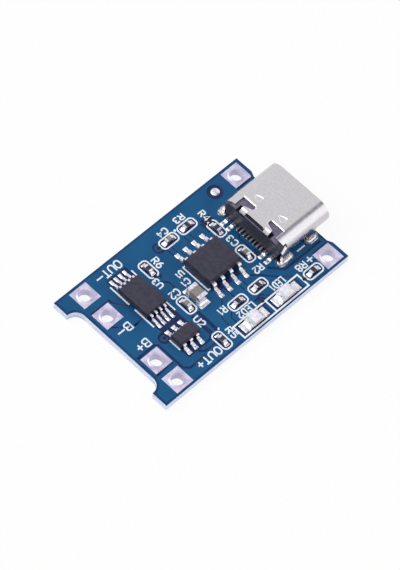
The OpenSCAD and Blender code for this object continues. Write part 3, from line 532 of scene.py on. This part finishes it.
def curve_mesh(name, strokes, **settings):
    """A mesh from a curve. A stroke is its points in mm, whether it closes, and how many bevels wide."""
    curve = bpy.data.curves.new(name, "CURVE")
    for key, value in settings.items():
        setattr(curve, key, value)
    for points, closed, width in strokes:
        spline = curve.splines.new("POLY")
        spline.points.add(len(points) - 1)
        spline.use_cyclic_u = closed
        for point, (x, y) in zip(spline.points, points):
            point.co = (x * MM, y * MM, 0, 1)
            point.radius = width
    drawn = bpy.data.objects.new(name, curve)
    bpy.context.collection.objects.link(drawn)
    take(drawn)
    bpy.ops.object.convert(target="MESH")
    return bpy.context.object


def settle(piece, slot, *nodes):
    """The piece rides on the board and stands for the nodes that it replaces; the slot is not used."""
    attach(piece, "root")
    if nodes:
        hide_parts(*nodes)


def dress(node, material):
    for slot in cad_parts[node].material_slots:
        slot.link = "OBJECT"
        slot.material = material


def merged_copy(node, name):
    """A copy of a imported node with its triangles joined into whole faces."""
    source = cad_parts[node]
    piece = source.copy()
    piece.data = source.data.copy()
    piece.name = name
    piece.parent = None
    piece.matrix_world = Matrix.Identity(4)
    bpy.context.collection.objects.link(piece)
    take(piece)
    bpy.ops.mesh.customdata_custom_splitnormals_clear()
    bpy.ops.object.mode_set(mode="EDIT")
    bpy.ops.mesh.select_all(action="SELECT")
    bpy.ops.mesh.remove_doubles(threshold=PACKED_REACH * MM)
    bpy.ops.mesh.dissolve_limited(angle_limit=math.radians(PACKED_TURN))
    bpy.ops.object.mode_set(mode="OBJECT")
    piece.data.materials.clear()
    return piece


def soften(node, radius, material, slot):
    """The node's shape with its edges rounded by a radius in mm."""
    piece = merged_copy(node, f"{node}_soft")
    modify(piece, "BEVEL", width=radius * MM, segments=2, limit_method="ANGLE",
           angle_limit=math.radians(30), use_clamp_overlap=True, miter_outer="MITER_ARC")
    smooth(piece, 40)
    modify(piece, "WEIGHTED_NORMAL", mode="FACE_AREA", weight=100, keep_sharp=True)
    piece.data.materials.append(material)
    settle(piece, slot, node)


# Shell: the drawn sheet with rolled edges round its slots and dimples

# The right slot's outline on the shell's top, from the socket's middle and the shell's rear edge, then
# one dimple's, from its own place, and where the dimples begin.
SLOT_RIM = [(1.15, 0.85), (2.17, 0.55), (2.17, -0.2), (3.05, -0.2), (3.05, 1.42), (1.32, 1.42),
            (1.12, 1.22)]
DIMPLE_RIM = [(-0.47, 0.02), (-0.44, 0.09), (0.24, 0.33), (0.33, 0.31), (0.36, 0.22), (0.27, -0.28),
              (0.2, -0.35), (0.11, -0.33)]
DIMPLE_AT = (1.83, 2.43)
DIMPLES_BEGIN = 1.8
# The rolled rims: width round a slot and round a dimple, depth as a share of the width, slack under
# the lowest face, and how far the faces turn up.
RIM_W = 0.11
DIMPLE_RIM_W = 0.1
RIM_SLOPE = 0.45
RIM_SLACK = 0.01
RIM_TILT = (0.88, 0.94)
# Where the tab's bent arms lie, on either side of the middle, and how deep they show; faces there take a
# darker steel, painted shade on the bent arms.
ARM_IN = 1.37
ARM_OUT = 2.18
ARM_FRONT = 0.38
ARM_DROP = 0.65


def rim_cutter(points, x, y, level, reach):
    """A slab whose side slopes out to its widest at that level: it turns a sharp edge into a chamfer."""
    cutter = curve_mesh("rim", [(points, True, 1)], dimensions="2D", fill_mode="BOTH",
                        bevel_depth=reach * MM, bevel_resolution=0)
    place = Matrix.Translation(Vector((x, y, level)) * MM)
    cutter.data.transform(place @ Matrix.Diagonal((1, 1, RIM_SLOPE, 1)))
    return close_up(cutter)


def make_shell():
    shell = merged_copy("usb_shell", "usb_shell_soft")
    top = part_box("usb_shell")[1][2] / MM
    for side in (-1, 1):
        slot = [(side * x, y) for x, y in SLOT_RIM]
        dimple_x, dimple_y = SOCKET_X + side * DIMPLE_AT[0], SHELL_REAR + DIMPLE_AT[1]
        cutters = [rim_cutter(slot, SOCKET_X, SHELL_REAR, top, RIM_W),
                   rim_cutter(DIMPLE_RIM, dimple_x, dimple_y, top, DIMPLE_RIM_W)]
        for cutter in cutters:
            modify(shell, "BOOLEAN", operation="DIFFERENCE", solver="EXACT", object=cutter)
            bpy.data.objects.remove(cutter)
    smooth(shell, 18)
    modify(shell, "WEIGHTED_NORMAL", mode="FACE_AREA", weight=60, keep_sharp=True)
    for material in (SHELL, SHELL_RIM_HIGHLIGHT, SHELL_DIMPLE_HIGHLIGHT, SHELL_ARM_SHADE):
        shell.data.materials.append(material)
    rim_low = top - RIM_W * RIM_SLOPE - RIM_SLACK
    # Upturned rim faces take the brighter steels: painted highlight on the slot and dimple rims.
    for face in shell.data.polygons:
        x, y, z = face.center / MM
        if RIM_TILT[0] < face.normal.z < RIM_TILT[1] and z > rim_low:
            face.material_index = 1 if y < SHELL_REAR + DIMPLES_BEGIN else 2
        # Faces on the bent arms take the darker steel: painted shade.
        elif ARM_IN < abs(x - SOCKET_X) < ARM_OUT and y < SHELL_REAR + ARM_FRONT and z > top - ARM_DROP:
            face.material_index = 3
    settle(shell, "shell_steel", "usb_shell")


# Board: copper areas stand a little over the gaps between them, under one coat of mask

# How deep the gaps lie, how far the copper stays off the board's edge, how flat a gap's round strip
# is pressed, and how many sides a round gap has.
GAP_DEPTH = 0.02
COPPER_MARGIN = 0.27
GAP_STEEPNESS = 0.2
RING_SIDES = 24

# Gaps on the top face: width, then the points that the gap runs through.
TOP_GAPS = [
    (0.13, [(-5.25, 3.05), (-4.2, 3.05)]), (0.13, [(-5.25, 2.35), (-3.9, 2.35)]),
    (0.13, [(-5.3, 0.45), (-4.2, 0.45)]), (0.13, [(-5.3, -0.2), (-3.3, -0.2)]),
    (0.2, [(-5.2, 4.9), (-3.7, 4.9)]), (0.2, [(-5.35, 5.1), (-5.35, 6.3), (-4.4, 6.55)]),
    (0.22, [(-2.7, -3.5), (-2.15, -2.95), (-1.25, -2.95)]),
    (0.28, [(-3.55, -2.9), (-3.1, -3.2)]),
    (0.24, [(-2.9, -8.2), (-4.45, -9.35), (-5.0, -9.4)]), (0.24, [(-4.86, -9.4), (-4.86, -12.1)]),
    (0.26, [(-0.75, -8.2), (-0.75, -9.6)]), (0.22, [(-2.35, -11.7), (-1.4, -10.6)]),
    (0.3, [(7.05, -6.5), (7.05, -8.8), (6.5, -9.38), (2.75, -9.38), (2.46, -9.75), (2.46, -12.3)]),
    (0.3, [(5.6, -4.25), (5.95, -4.75), (5.95, -5.7)]), (0.28, [(6.68, -4.6), (6.68, -6.1), (6.15, -6.7)]),
    (0.13, [(3.2, 3.1), (4.0, 3.1)]), (0.13, [(3.2, 2.45), (4.0, 2.45)]), (0.13, [(2.1, 1.0), (4.0, 1.0)]),
    (0.16, [(3.1, 0.5), (3.3, -0.3), (4.2, -1.1), (4.9, -1.9), (6.2, -2.0)]),
    (0.16, [(5.1, -0.6), (5.6, -1.1), (6.5, -1.1)]),
    (0.3, [(5.2, 13.1), (5.2, 7.6), (3.75, 6.35)]),
    (0.2, [(6.45, 7.6), (5.0, 6.05), (3.8, 5.0), (3.1, 4.2)]),
    (0.2, [(6.35, 4.0), (5.65, 3.25), (5.85, 2.2)]),
    (0.16, [(-1.9, 7.5), (-1.0, 6.75), (0.9, 6.75)]), (0.18, [(6.55, 11.0), (6.55, 8.4)]),
    (0.22, [(-5.7, 13.5), (-5.7, 11.1)]), (0.2, [(5.83, 13.5), (5.83, 11.2)]),
    (0.2, [(5.35, -9.7), (5.35, -12.2)]),
]
# Round gaps: middle, radius, width.
TOP_RINGS = [
    ((-7.05, 9.05), 0.74, 0.44), ((-6.0, -0.7), 0.6, 0.28), ((2.55, -8.3), 0.58, 0.3),
    ((6.35, 2.85), 0.42, 0.2), ((1.55, 6.75), 0.4, 0.18),
]
# Bare areas: low and high corners. The strip between the socket's tails under the housing, the areas
# between the leads of U2 and U3, and the three strips between U1's right leads by its body lie where shade
# falls; their dark colour there is partly bare laminate and partly painted shade.
TOP_BARE_AND_SHADE = [
    ((-6.75, -8.0), (-5.3, -5.1)), ((-0.4, -8.0), (2.75, -4.97)), ((4.4, -8.05), (6.05, -5.75)),
    ((2.6, -3.55), (5.75, -3.12)), ((2.6, -4.36), (5.5, -3.88)),
    ((-5.3, 5.05), (-4.35, 6.3)), ((-2.1, 7.3), (1.85, 8.0)),
    ((1.05, 0.32), (2.35, 0.98)), ((1.05, 1.62), (2.35, 2.28)), ((1.05, 2.92), (2.35, 3.58)),
]
# Gaps on the underside, in the same way as on the top.
UNDER_GAPS = [
    (0.25, [(-1.2, -12.0), (-1.2, -6.0), (-4.5, -2.5), (-4.5, 9.0)]),
    (0.25, [(2.2, -12.0), (2.2, -7.5), (5.6, -4.0), (5.6, 10.4), (8.2, 10.4)]),
    (0.25, [(-8.2, 10.4), (-5.2, 10.4), (-5.2, 13.2)]),
    (0.2, [(-3.2, 6.6), (-2.2, 7.6), (3.4, 7.6), (4.2, 6.8), (4.2, -1.8), (2.8, -3.2), (-2.0, -3.2),
           (-3.2, -2.0), (-3.2, 6.6)]),
]


def gap_cutter(gaps, rings, level):
    """Round strips along the gaps, flattened so that each cuts a shallow groove at that level."""
    turns = [math.tau * i / RING_SIDES for i in range(RING_SIDES)]
    strokes = [(points, False, width) for width, points in gaps]
    for (x, y), radius, width in rings:
        ring = [(x + radius * math.cos(turn), y + radius * math.sin(turn)) for turn in turns]
        strokes.append((ring, True, width))
    cutter = curve_mesh("gaps", strokes, dimensions="3D", bevel_depth=0.5 * MM, bevel_resolution=2,
                        use_fill_caps=True)
    flat = Matrix.Diagonal((1, 1, GAP_STEEPNESS, 1))
    cutter.data.transform(Matrix.Translation((0, 0, level * MM)) @ flat)
    return cutter


def slab(low, high, level):
    """A plain cutter over a bare area, half above and half below that level."""
    bpy.ops.mesh.primitive_cube_add(size=1)
    cutter = bpy.context.object
    size = [s * MM for s in (high[0] - low[0], high[1] - low[1], 2 * GAP_DEPTH)]
    centre = Vector(((low[0] + high[0]) / 2, (low[1] + high[1]) / 2, level))
    cutter.data.transform(Matrix.Translation(centre * MM) @ Matrix.Diagonal((*size, 1)))
    return cutter


# Half the bare area round a small part, along and across it, and how far the one round a light reaches
# past the light's sides and ends.
BARE_HALF = (1.05, 0.5)
LIGHT_BARE = (0.2, 1.15)


def bare_places():
    """The bare laminate round each small part and each light, from where the part stands."""
    places = []
    for name in RESISTORS + SMALL_CAPACITORS:
        low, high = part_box(f"{name}_terminals")
        along_x = high[0] - low[0] > high[1] - low[1]
        half = BARE_HALF if along_x else BARE_HALF[::-1]
        x, y = (low[0] + high[0]) / 2 / MM, (low[1] + high[1]) / 2 / MM
        places.append(((x - half[0], y - half[1]), (x + half[0], y + half[1])))
    side, end = LIGHT_BARE
    for name in LIGHTS:
        low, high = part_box(f"{name}_base")
        places.append(((low[0] / MM - side, low[1] / MM - end), (high[0] / MM + side, high[1] / MM + end)))
    return places


# The board's rounded rear notch, and its front recess with slanted ends.
NOTCH_HALF = 6.55
NOTCH_DEPTH = 1.35
NOTCH_R = 1.3
RECESS_HALF = 5.65
RECESS_DEPTH = 0.3
RECESS_SLANT = 0.65


def copper_outline():
    """The edge of the copper: the board's outline moved in by the copper's margin."""
    x, y, m = HALF_W - COPPER_MARGIN, HALF_L - COPPER_MARGIN, COPPER_MARGIN
    half, floor = NOTCH_HALF + m, -HALF_L + NOTCH_DEPTH + m
    corner = NOTCH_R + m
    arc = [(half - corner + corner * math.cos(a), floor - corner + corner * math.sin(a))
           for a in map(math.radians, range(0, 91, 15))]
    arc = [(px, py) for px, py in arc if py > -y]
    right = [(half, -y)] + arc
    left = [(-px, py) for px, py in right]
    top = HALF_L - RECESS_DEPTH - m
    recess = [(RECESS_HALF + RECESS_SLANT + m, y), (RECESS_HALF + m, top), (-RECESS_HALF - m, top),
              (-RECESS_HALF - RECESS_SLANT - m, y)]
    return [(-x, -y)] + left + right[::-1] + [(x, -y), (x, y)] + recess + [(-x, y)]


def margin_cutter(level):
    """A flat ring from outside the board to the edge of the copper."""
    x, y = HALF_W + 1, HALF_L + 1
    outside = [(-x, -y), (x, -y), (x, y), (-x, y)]
    cutter = curve_mesh("margin", [(outside, True, 1), (copper_outline(), True, 1)], dimensions="2D",
                        fill_mode="BOTH", extrude=GAP_DEPTH * MM)
    cutter.data.transform(Matrix.Translation((0, 0, level * MM)))
    return close_up(cutter)


def inside(x, y, outline):
    """Whether a point lies inside a closed outline."""
    crossings = [
        (ay > y) != (by > y) and x < ax + (y - ay) * (bx - ax) / (by - ay)
        for (ax, ay), (bx, by) in zip(outline, outline[1:] + outline[:1]) if ay != by
    ]
    return sum(crossings) % 2 == 1


# The lines that divide the board's faces: their spacing, and a start that keeps them off its edges.
DIVIDE_SPACING = 1.3
DIVIDE_START = 0.013


def divide(piece, spacing, start):
    """Cuts the faces along lines a spacing apart, so that none has to run all round a bare area."""
    take(piece)
    bpy.ops.object.mode_set(mode="EDIT")
    for axis, half in ((0, HALF_W), (1, HALF_L)):
        across = [float(i == axis) for i in range(3)]
        at = start - spacing * math.floor((half + start) / spacing)
        while at < half:
            bpy.ops.mesh.select_all(action="SELECT")
            bpy.ops.mesh.bisect(plane_co=[at * MM * a for a in across], plane_no=across)
            at += spacing
    bpy.ops.object.mode_set(mode="OBJECT")


def make_board():
    board = merged_copy("board", "circuit_board")
    divide(board, DIVIDE_SPACING, DIVIDE_START)
    bare_and_shade = [slab(low, high, BOARD_TOP) for low, high in TOP_BARE_AND_SHADE + bare_places()]
    cutters = [
        margin_cutter(BOARD_TOP), margin_cutter(0), gap_cutter(TOP_GAPS, TOP_RINGS, BOARD_TOP),
        gap_cutter(UNDER_GAPS, [], 0), join(bare_and_shade, "bare_and_shaded_areas"),
    ]
    for cutter in cutters:
        modify(board, "BOOLEAN", operation="DIFFERENCE", solver="EXACT", object=cutter, use_self=True)
        bpy.data.objects.remove(cutter)
    for material in (EDGE, MASK_COPPER, MASK_BARE, MASK_MARGIN):
        board.data.materials.append(material)
    # Faces on the board's surface are mask over copper; those just under it are the gaps.
    skin = 2.5 * GAP_DEPTH * MM
    hair = HAIR * MM
    outline = copper_outline()
    for face in board.data.polygons:
        z = face.center.z
        if abs(face.normal.z) > 0.9 and (z > BOARD_TOP * MM - hair or z < hair):
            face.material_index = 1
        elif z > BOARD_TOP * MM - skin or z < skin:
            covered = inside(face.center.x / MM, face.center.y / MM, outline)
            face.material_index = 2 if covered else 3
        else:
            face.material_index = 0
    settle(board, "board_mask", "board")


# Print: letters drawn as round strokes and pressed flat

# How far the letters stand off the board, the width of their strokes, and the gap between two
# letters as a share of a letter's width.
PRINT_T = 0.03
PRINT_STROKE = 0.19
LETTER_GAP = 0.34


def bend(cx, cy, rx, ry, start, end, steps=7):
    """Points on an oval from one angle to another."""
    angles = [math.radians(start + (end - start) * i / steps) for i in range(steps + 1)]
    return [(cx + rx * math.cos(a), cy + ry * math.sin(a)) for a in angles]


# Each letter is a list of strokes in a box one wide and one high; the minus sign stands out of it.
LETTERS = {
    "R": [[(0, 0), (0, 1)] + bend(0.58, 0.76, 0.42, 0.24, 90, -90) + [(0, 0.52)], [(0.45, 0.52), (1, 0)]],
    "C": [bend(0.5, 0.68, 0.5, 0.32, 15, 180) + bend(0.5, 0.32, 0.5, 0.32, 180, 345)],
    "U": [[(0, 1)] + bend(0.5, 0.36, 0.5, 0.36, 180, 360) + [(1, 1)]],
    "L": [[(0, 1), (0, 0), (1, 0)]],
    "E": [[(1, 1), (0, 1), (0, 0), (1, 0)], [(0, 0.52), (0.8, 0.52)]],
    "D": [[(0, 0), (0, 1)] + bend(0.42, 0.5, 0.58, 0.5, 90, -90) + [(0, 0)]],
    "O": [bend(0.5, 0.64, 0.5, 0.36, 0, 180) + bend(0.5, 0.36, 0.5, 0.36, 180, 360) + [(1, 0.64)]],
    "T": [[(0, 1), (1, 1)], [(0.5, 1), (0.5, 0)]],
    "B": [[(0, 0), (0, 1)] + bend(0.6, 0.77, 0.36, 0.23, 90, -90) + [(0, 0.54)],
          [(0, 0.54)] + bend(0.6, 0.27, 0.4, 0.27, 90, -90) + [(0, 0)]],
    "1": [[(0.2, 0.76), (0.6, 1), (0.6, 0)]],
    "2": [bend(0.5, 0.72, 0.48, 0.28, 165, -30) + [(0, 0), (1, 0)]],
    "3": [bend(0.46, 0.76, 0.46, 0.24, 150, -90), bend(0.48, 0.27, 0.5, 0.27, 90, -150)],
    "4": [[(0.75, 0), (0.75, 1), (0, 0.3), (1, 0.3)]],
    "5": [[(0.95, 1), (0.1, 1), (0.05, 0.55)] + bend(0.48, 0.32, 0.5, 0.32, 120, -140)],
    "6": [[(0.8, 1), (0.35, 0.8), (0.08, 0.45)] + bend(0.5, 0.3, 0.46, 0.3, 180, 540, 14)],
    "8": [bend(0.5, 0.76, 0.4, 0.24, 0, 360, 14), bend(0.5, 0.27, 0.5, 0.27, 0, 360, 14)],
    "+": [[(0.5, 0.12), (0.5, 0.88)], [(0, 0.5), (1, 0.5)]],
    "-": [[(-0.1, 0.5), (1.25, 0.5)]],
}

# Label, low corner, high corner, and how it is turned: 0 upright, 180 upside down, 90 clockwise.
LABELS = [
    ("R4", (-6.3, 5.55), (-5.05, 6.35), 0), ("C3", (-1.95, 5.55), (-0.65, 6.35), 180),
    ("R3", (-7.65, 2.98), (-6.9, 4.2), 90), ("C4", (-7.55, 0.35), (-6.8, 1.6), 90),
    ("U1", (-2.45, -1.85), (-1.7, -0.95), 90), ("C1", (-1.3, -2.15), (-0.55, -1.15), 90),
    ("C2", (-1.1, -4.15), (-0.25, -2.95), 90), ("R6", (-5.4, -2.55), (-4.15, -1.7), 0),
    ("U3", (-3.45, -4.35), (-2.25, -3.6), 180), ("U2", (2.95, -4.4), (4.25, -3.6), 0),
    ("R5", (6.25, -2.8), (7.6, -2.05), 0), ("R1", (3.85, -1.75), (4.7, -0.75), 90),
    ("R2", (2.75, 4.9), (3.55, 6.05), 90), ("LED1", (5.5, 4.65), (6.35, 6.55), 90),
    ("LED2", (5.6, -0.4), (6.4, 1.9), 90), ("R8", (5.7, 8.55), (6.55, 9.75), 90),
    ("OUT-", (-8.05, -8.45), (-7.05, -5.15), 90), ("OUT+", (7.05, -8.05), (8.0, -4.8), 90),
    ("B-", (-1.6, -11.45), (-0.65, -9.8), 90), ("B+", (1.15, -11.4), (2.15, -9.8), 90),
]
# Loose strokes: the signs beside the input pads, and a short mark at the corner of U2.
MARKS = [
    [(4.45, 10.2), (4.45, 11.4)], [(5.7, 10.5), (6.5, 10.5)], [(6.1, 10.1), (6.1, 10.9)],
    [(5.55, -3.05), (5.75, -3.25)],
]


def label_strokes(text, low, high, turn):
    """The strokes of a label, fitted to its box."""
    wide, tall = high[0] - low[0], high[1] - low[1]
    run, rise = (tall, wide) if turn == 90 else (wide, tall)
    width = run / (len(text) + LETTER_GAP * (len(text) - 1))
    strokes = []
    for index, letter in enumerate(text):
        start = index * width * (1 + LETTER_GAP)
        for stroke in LETTERS[letter]:
            placed = [(start + u * width, v * rise) for u, v in stroke]
            if turn == 90:
                placed = [(low[0] + v, high[1] - u) for u, v in placed]
            elif turn == 180:
                placed = [(high[0] - u, high[1] - v) for u, v in placed]
            else:
                placed = [(low[0] + u, low[1] + v) for u, v in placed]
            strokes.append(placed)
    return strokes


def make_labels():
    strokes = [stroke for label in LABELS for stroke in label_strokes(*label)] + MARKS
    labels = curve_mesh("printed_labels", [(stroke, False, 1) for stroke in strokes], dimensions="3D",
                        bevel_depth=PRINT_STROKE / 2 * MM, bevel_resolution=2, use_fill_caps=True)
    flat = 2 * PRINT_T / PRINT_STROKE
    labels.data.transform(Matrix.Translation((0, 0, BOARD_TOP * MM)) @ Matrix.Diagonal((1, 1, flat, 1)))
    smooth(labels, 60)
    labels.data.materials.append(PRINT)
    settle(labels, "white_print")


# Solder: a skin over each land that climbs what stands on it

# How a skin's top face is divided, the plain land's thickness, the skin's as a share of it, and the
# width from which a land carries a full fillet.
SKIN_STEPS = (16, 10)
LAND_T = 0.05
SKIN_OVER = 1.15
WIDE_LAND = 0.5
# The skin's rounded rim: its lowest share and its width. Then the hollow of the fillet, and the swell
# of the surface with the distance from the rim at which it is full.
RIM_LOW = 0.35
RIM_REACH = 0.1
FILLET_HOLLOW = 2.2
SWELL = 0.012
SWELL_REACH = 0.15
# How high solder climbs a chip's lead, a small part's end and a contact's tail, and how far from it
# the fillet starts.
LEAD_CLIMB = (0.12, 0.3)
END_CLIMB = (0.22, 0.3)
TAIL_CLIMB = (0.1, 0.25)


def islands(node):
    """The low and high corners of each separate solid of a node, in mm."""
    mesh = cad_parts[node].data
    spots = {}
    root = {}

    def find(key):
        while root[key] != key:
            root[key] = root[root[key]]
            key = root[key]
        return key

    keys = [tuple(round(c / MM, 4) for c in v.co) for v in mesh.vertices]
    for key in keys:
        root.setdefault(key, key)
    for face in mesh.polygons:
        first = find(keys[face.vertices[0]])
        for vertex in face.vertices[1:]:
            root[find(keys[vertex])] = first
    for key in root:
        spots.setdefault(find(key), []).append(key)
    return [([min(p[i] for p in points) for i in range(3)], [max(p[i] for p in points) for i in range(3)])
            for points in spots.values()]


def make_skin_blank():
    """A flat square slab, one wide, whose top face is divided: the start of every solder skin."""
    bpy.ops.mesh.primitive_grid_add(x_subdivisions=SKIN_STEPS[0], y_subdivisions=SKIN_STEPS[1], size=1)
    blank = bpy.context.object
    bpy.ops.object.mode_set(mode="EDIT")
    bpy.ops.mesh.select_all(action="SELECT")
    bpy.ops.mesh.extrude_region_move(TRANSFORM_OT_translate={"value": (0, 0, 1)})
    bpy.ops.object.mode_set(mode="OBJECT")
    return close_up(blank)


def overlap(a, b):
    """The shared area of two boxes seen from above, or None."""
    low = [max(a[0][i], b[0][i]) for i in range(2)]
    high = [min(a[1][i], b[1][i]) for i in range(2)]
    return (low, high) if low[0] < high[0] and low[1] < high[1] else None


def solder_height(x, y, land, foot, rise, reach):
    """How far the skin stands over the land's base: rounded at the land's rim, hollow at the foot."""
    to_rim = min(x - land[0][0], land[1][0] - x, y - land[0][1], land[1][1] - y)
    rim = min(1.0, RIM_LOW + to_rim / RIM_REACH)
    dx = max(foot[0][0] - x, 0, x - foot[1][0])
    dy = max(foot[0][1] - y, 0, y - foot[1][1])
    climb = max(0.0, 1 - math.hypot(dx, dy) / reach)
    swell = SWELL * math.sin(9 * x + 3 * y) * math.sin(7 * y - 2 * x)
    fillet = rise * climb ** FILLET_HOLLOW * rim
    return LAND_T * rim * SKIN_OVER + fillet + swell * min(1.0, to_rim / SWELL_REACH)


def solder_skins(node, stands, climb, material, name):
    """Skins over all lands of a node; stands are the boxes of the leads or end caps on them."""
    rise, reach = climb
    skins = []
    for land in islands(node):
        feet = [f for f in (overlap(land, stand) for stand in stands) if f]
        if not feet:
            continue
        foot = ([min(f[0][i] for f in feet) for i in range(2)],
                [max(f[1][i] for f in feet) for i in range(2)])
        share = min(1.0, (land[1][0] - land[0][0]) / WIDE_LAND)
        skin = BLANK.copy()
        skin.data = BLANK.data.copy()
        bpy.context.collection.objects.link(skin)
        for vertex in skin.data.vertices:
            x = land[0][0] + (vertex.co.x + 0.5) * (land[1][0] - land[0][0])
            y = land[0][1] + (vertex.co.y + 0.5) * (land[1][1] - land[0][1])
            z = land[0][2]
            if vertex.co.z > 0.5:
                z += solder_height(x, y, land, foot, rise * share, reach)
            vertex.co = Vector((x, y, z)) * MM
        skins.append(skin)
    piece = join(skins, name)
    smooth(piece, 55)
    piece.data.materials.append(material)
    settle(piece, "solder", node)


# Round a leg: how high the solder climbs, how often and how much its rim waves, and its rings from
# the rim to the leg, each with its size and its height as shares.
MOUND_CLIMB = 0.3
MOUND_WAVES = 3
MOUND_WAVE = 0.06
MOUND_RINGS = [(1.0, 0.0), (0.97, 0.45), (0.88, 0.8), (0.72, 0.72), (0.55, 0.5), (0.4, 0.62), (0.26, 1.0)]


def leg_mound(x, y, length, width):
    """Solder round one leg: a rim that rises and dips again before it climbs the leg."""
    bpy.ops.mesh.primitive_circle_add(vertices=40, radius=1, fill_type="NOTHING")
    mound = bpy.context.object
    bpy.ops.object.mode_set(mode="EDIT")
    bpy.ops.mesh.select_all(action="SELECT")
    for (before, low), (after, high) in zip(MOUND_RINGS, MOUND_RINGS[1:]):
        bpy.ops.mesh.extrude_edges_move(TRANSFORM_OT_translate={"value": (0, 0, high - low)})
        share = after / before
        bpy.ops.transform.resize(value=(share, share, 1), center_override=(0, 0, 0))
    bpy.ops.mesh.edge_face_add()
    bpy.ops.object.mode_set(mode="OBJECT")
    close_up(mound)
    straight = (length - width) / 2
    for vertex in mound.data.vertices:
        px, py, pz = vertex.co
        wave = 1 + MOUND_WAVE * math.sin(MOUND_WAVES * math.atan2(py, px) + x + y)
        away = straight * max(-1, min(1, 3 * py))
        vertex.co = Vector((x + px * width / 2 * wave, y + py * width / 2 * wave + away,
                            BOARD_TOP + pz * MOUND_CLIMB)) * MM
    return mound


def make_leg_solder():
    mounds = []
    for low, high in islands("usb_leg_solder"):
        x, y = (low[0] + high[0]) / 2, (low[1] + high[1]) / 2
        mounds.append(leg_mound(x, y, high[1] - low[1], high[0] - low[0]))
    piece = join(mounds, "leg_solder_mounds")
    smooth(piece, 60)
    piece.data.materials.append(LEG_SOLDER)
    settle(piece, "solder")


# A via's plug: radius, height as a share of the board's, width of its flat rim, and how far its
# middle is sunk.
PLUG_R = 0.155
PLUG_SHARE = 0.9
PLUG_RIM = 0.05
PLUG_SINK = 0.04


def make_via_plugs():
    """Mask that fills the vias, sunk a little at its middle; its near-black colour is painted shade of the
    via holes.
    """
    plugs = []
    for low, high in islands("vias"):
        bpy.ops.mesh.primitive_cylinder_add(vertices=24, radius=PLUG_R * MM,
                                            depth=PLUG_SHARE * BOARD_TOP * MM)
        plug = bpy.context.object
        bpy.ops.object.mode_set(mode="EDIT")
        bpy.ops.mesh.select_all(action="DESELECT")
        bpy.ops.object.mode_set(mode="OBJECT")
        for face in plug.data.polygons:
            face.select = face.normal.z > 0.9
        bpy.ops.object.mode_set(mode="EDIT")
        bpy.ops.mesh.inset(thickness=PLUG_RIM * MM)
        bpy.ops.transform.translate(value=(0, 0, -PLUG_SINK * MM))
        bpy.ops.object.mode_set(mode="OBJECT")
        x, y = (low[0] + high[0]) / 2, (low[1] + high[1]) / 2
        plug.data.transform(Matrix.Translation((x * MM, y * MM, BOARD_TOP / 2 * MM)))
        plugs.append(plug)
    piece = join(plugs, "via_plugs")
    piece.data.materials.append(VIA_MASK_AND_SHADE)
    settle(piece, "board_mask")


# Putting the module together

# How far the edges of the moulded pieces are rounded.
HOUSING_ROUND = 0.03
CHIP_ROUND = 0.07
LENS_ROUND = 0.06

set_camera()
set_world()
make_floor()
for lamp in LAMPS:
    softbox(*lamp)

make_board()
make_labels()
make_via_plugs()

BLANK = make_skin_blank()
for chip in CHIPS:
    solder_skins(f"{chip}_solder", islands(f"{chip}_leads"), LEAD_CLIMB, SOLDER, f"{chip}_solder_skins")
ends = [end for part in RESISTORS + CAPACITORS + LIGHTS for end in islands(f"{part}_terminals")]
solder_skins("small_part_solder", ends, END_CLIMB, SOLDER, "small_part_solder_skins")
tails = islands("usb_contacts_upper") + islands("usb_contacts_lower")
solder_skins("usb_tail_solder", tails, TAIL_CLIMB, TAIL_SOLDER, "tail_solder_skins")
bpy.data.objects.remove(BLANK)
make_leg_solder()

make_shell()
soften("usb_housing", HOUSING_ROUND, HOUSING, "black_moulding")
for chip in CHIPS:
    soften(f"{chip}_body", CHIP_ROUND, MOULDING, "chip_moulding")
    dress(f"{chip}_leads", LEAD)
for part in RESISTORS:
    dress(f"{part}_body", RESISTOR)
    dress(f"{part}_terminals", LEAD)
for part in CAPACITORS:
    dress(f"{part}_body", CERAMIC)
    dress(f"{part}_terminals", LEAD)
for light in LIGHTS:
    dress(f"{light}_base", LIGHT_BASE)
    soften(f"{light}_lens", LENS_ROUND, LENS, "light_lens")
    dress(f"{light}_terminals", LEAD)
for pad in ("in_minus", "in_plus", "out_minus", "b_minus", "b_plus", "out_plus"):
    dress(f"pad_{pad}", PAD)
dress("vias", VIA_MASK_AND_SHADE)
dress("test_point", SOLDER)
dress("usb_contacts_upper", CONTACT)
dress("usb_contacts_lower", CONTACT)
dress("usb_latch_plate", PLATE)
dress("usb_leg_solder", LEG_SOLDER)
dress("printed_outlines", PRINT)

bpy.context.scene.view_settings.view_transform = "Standard"
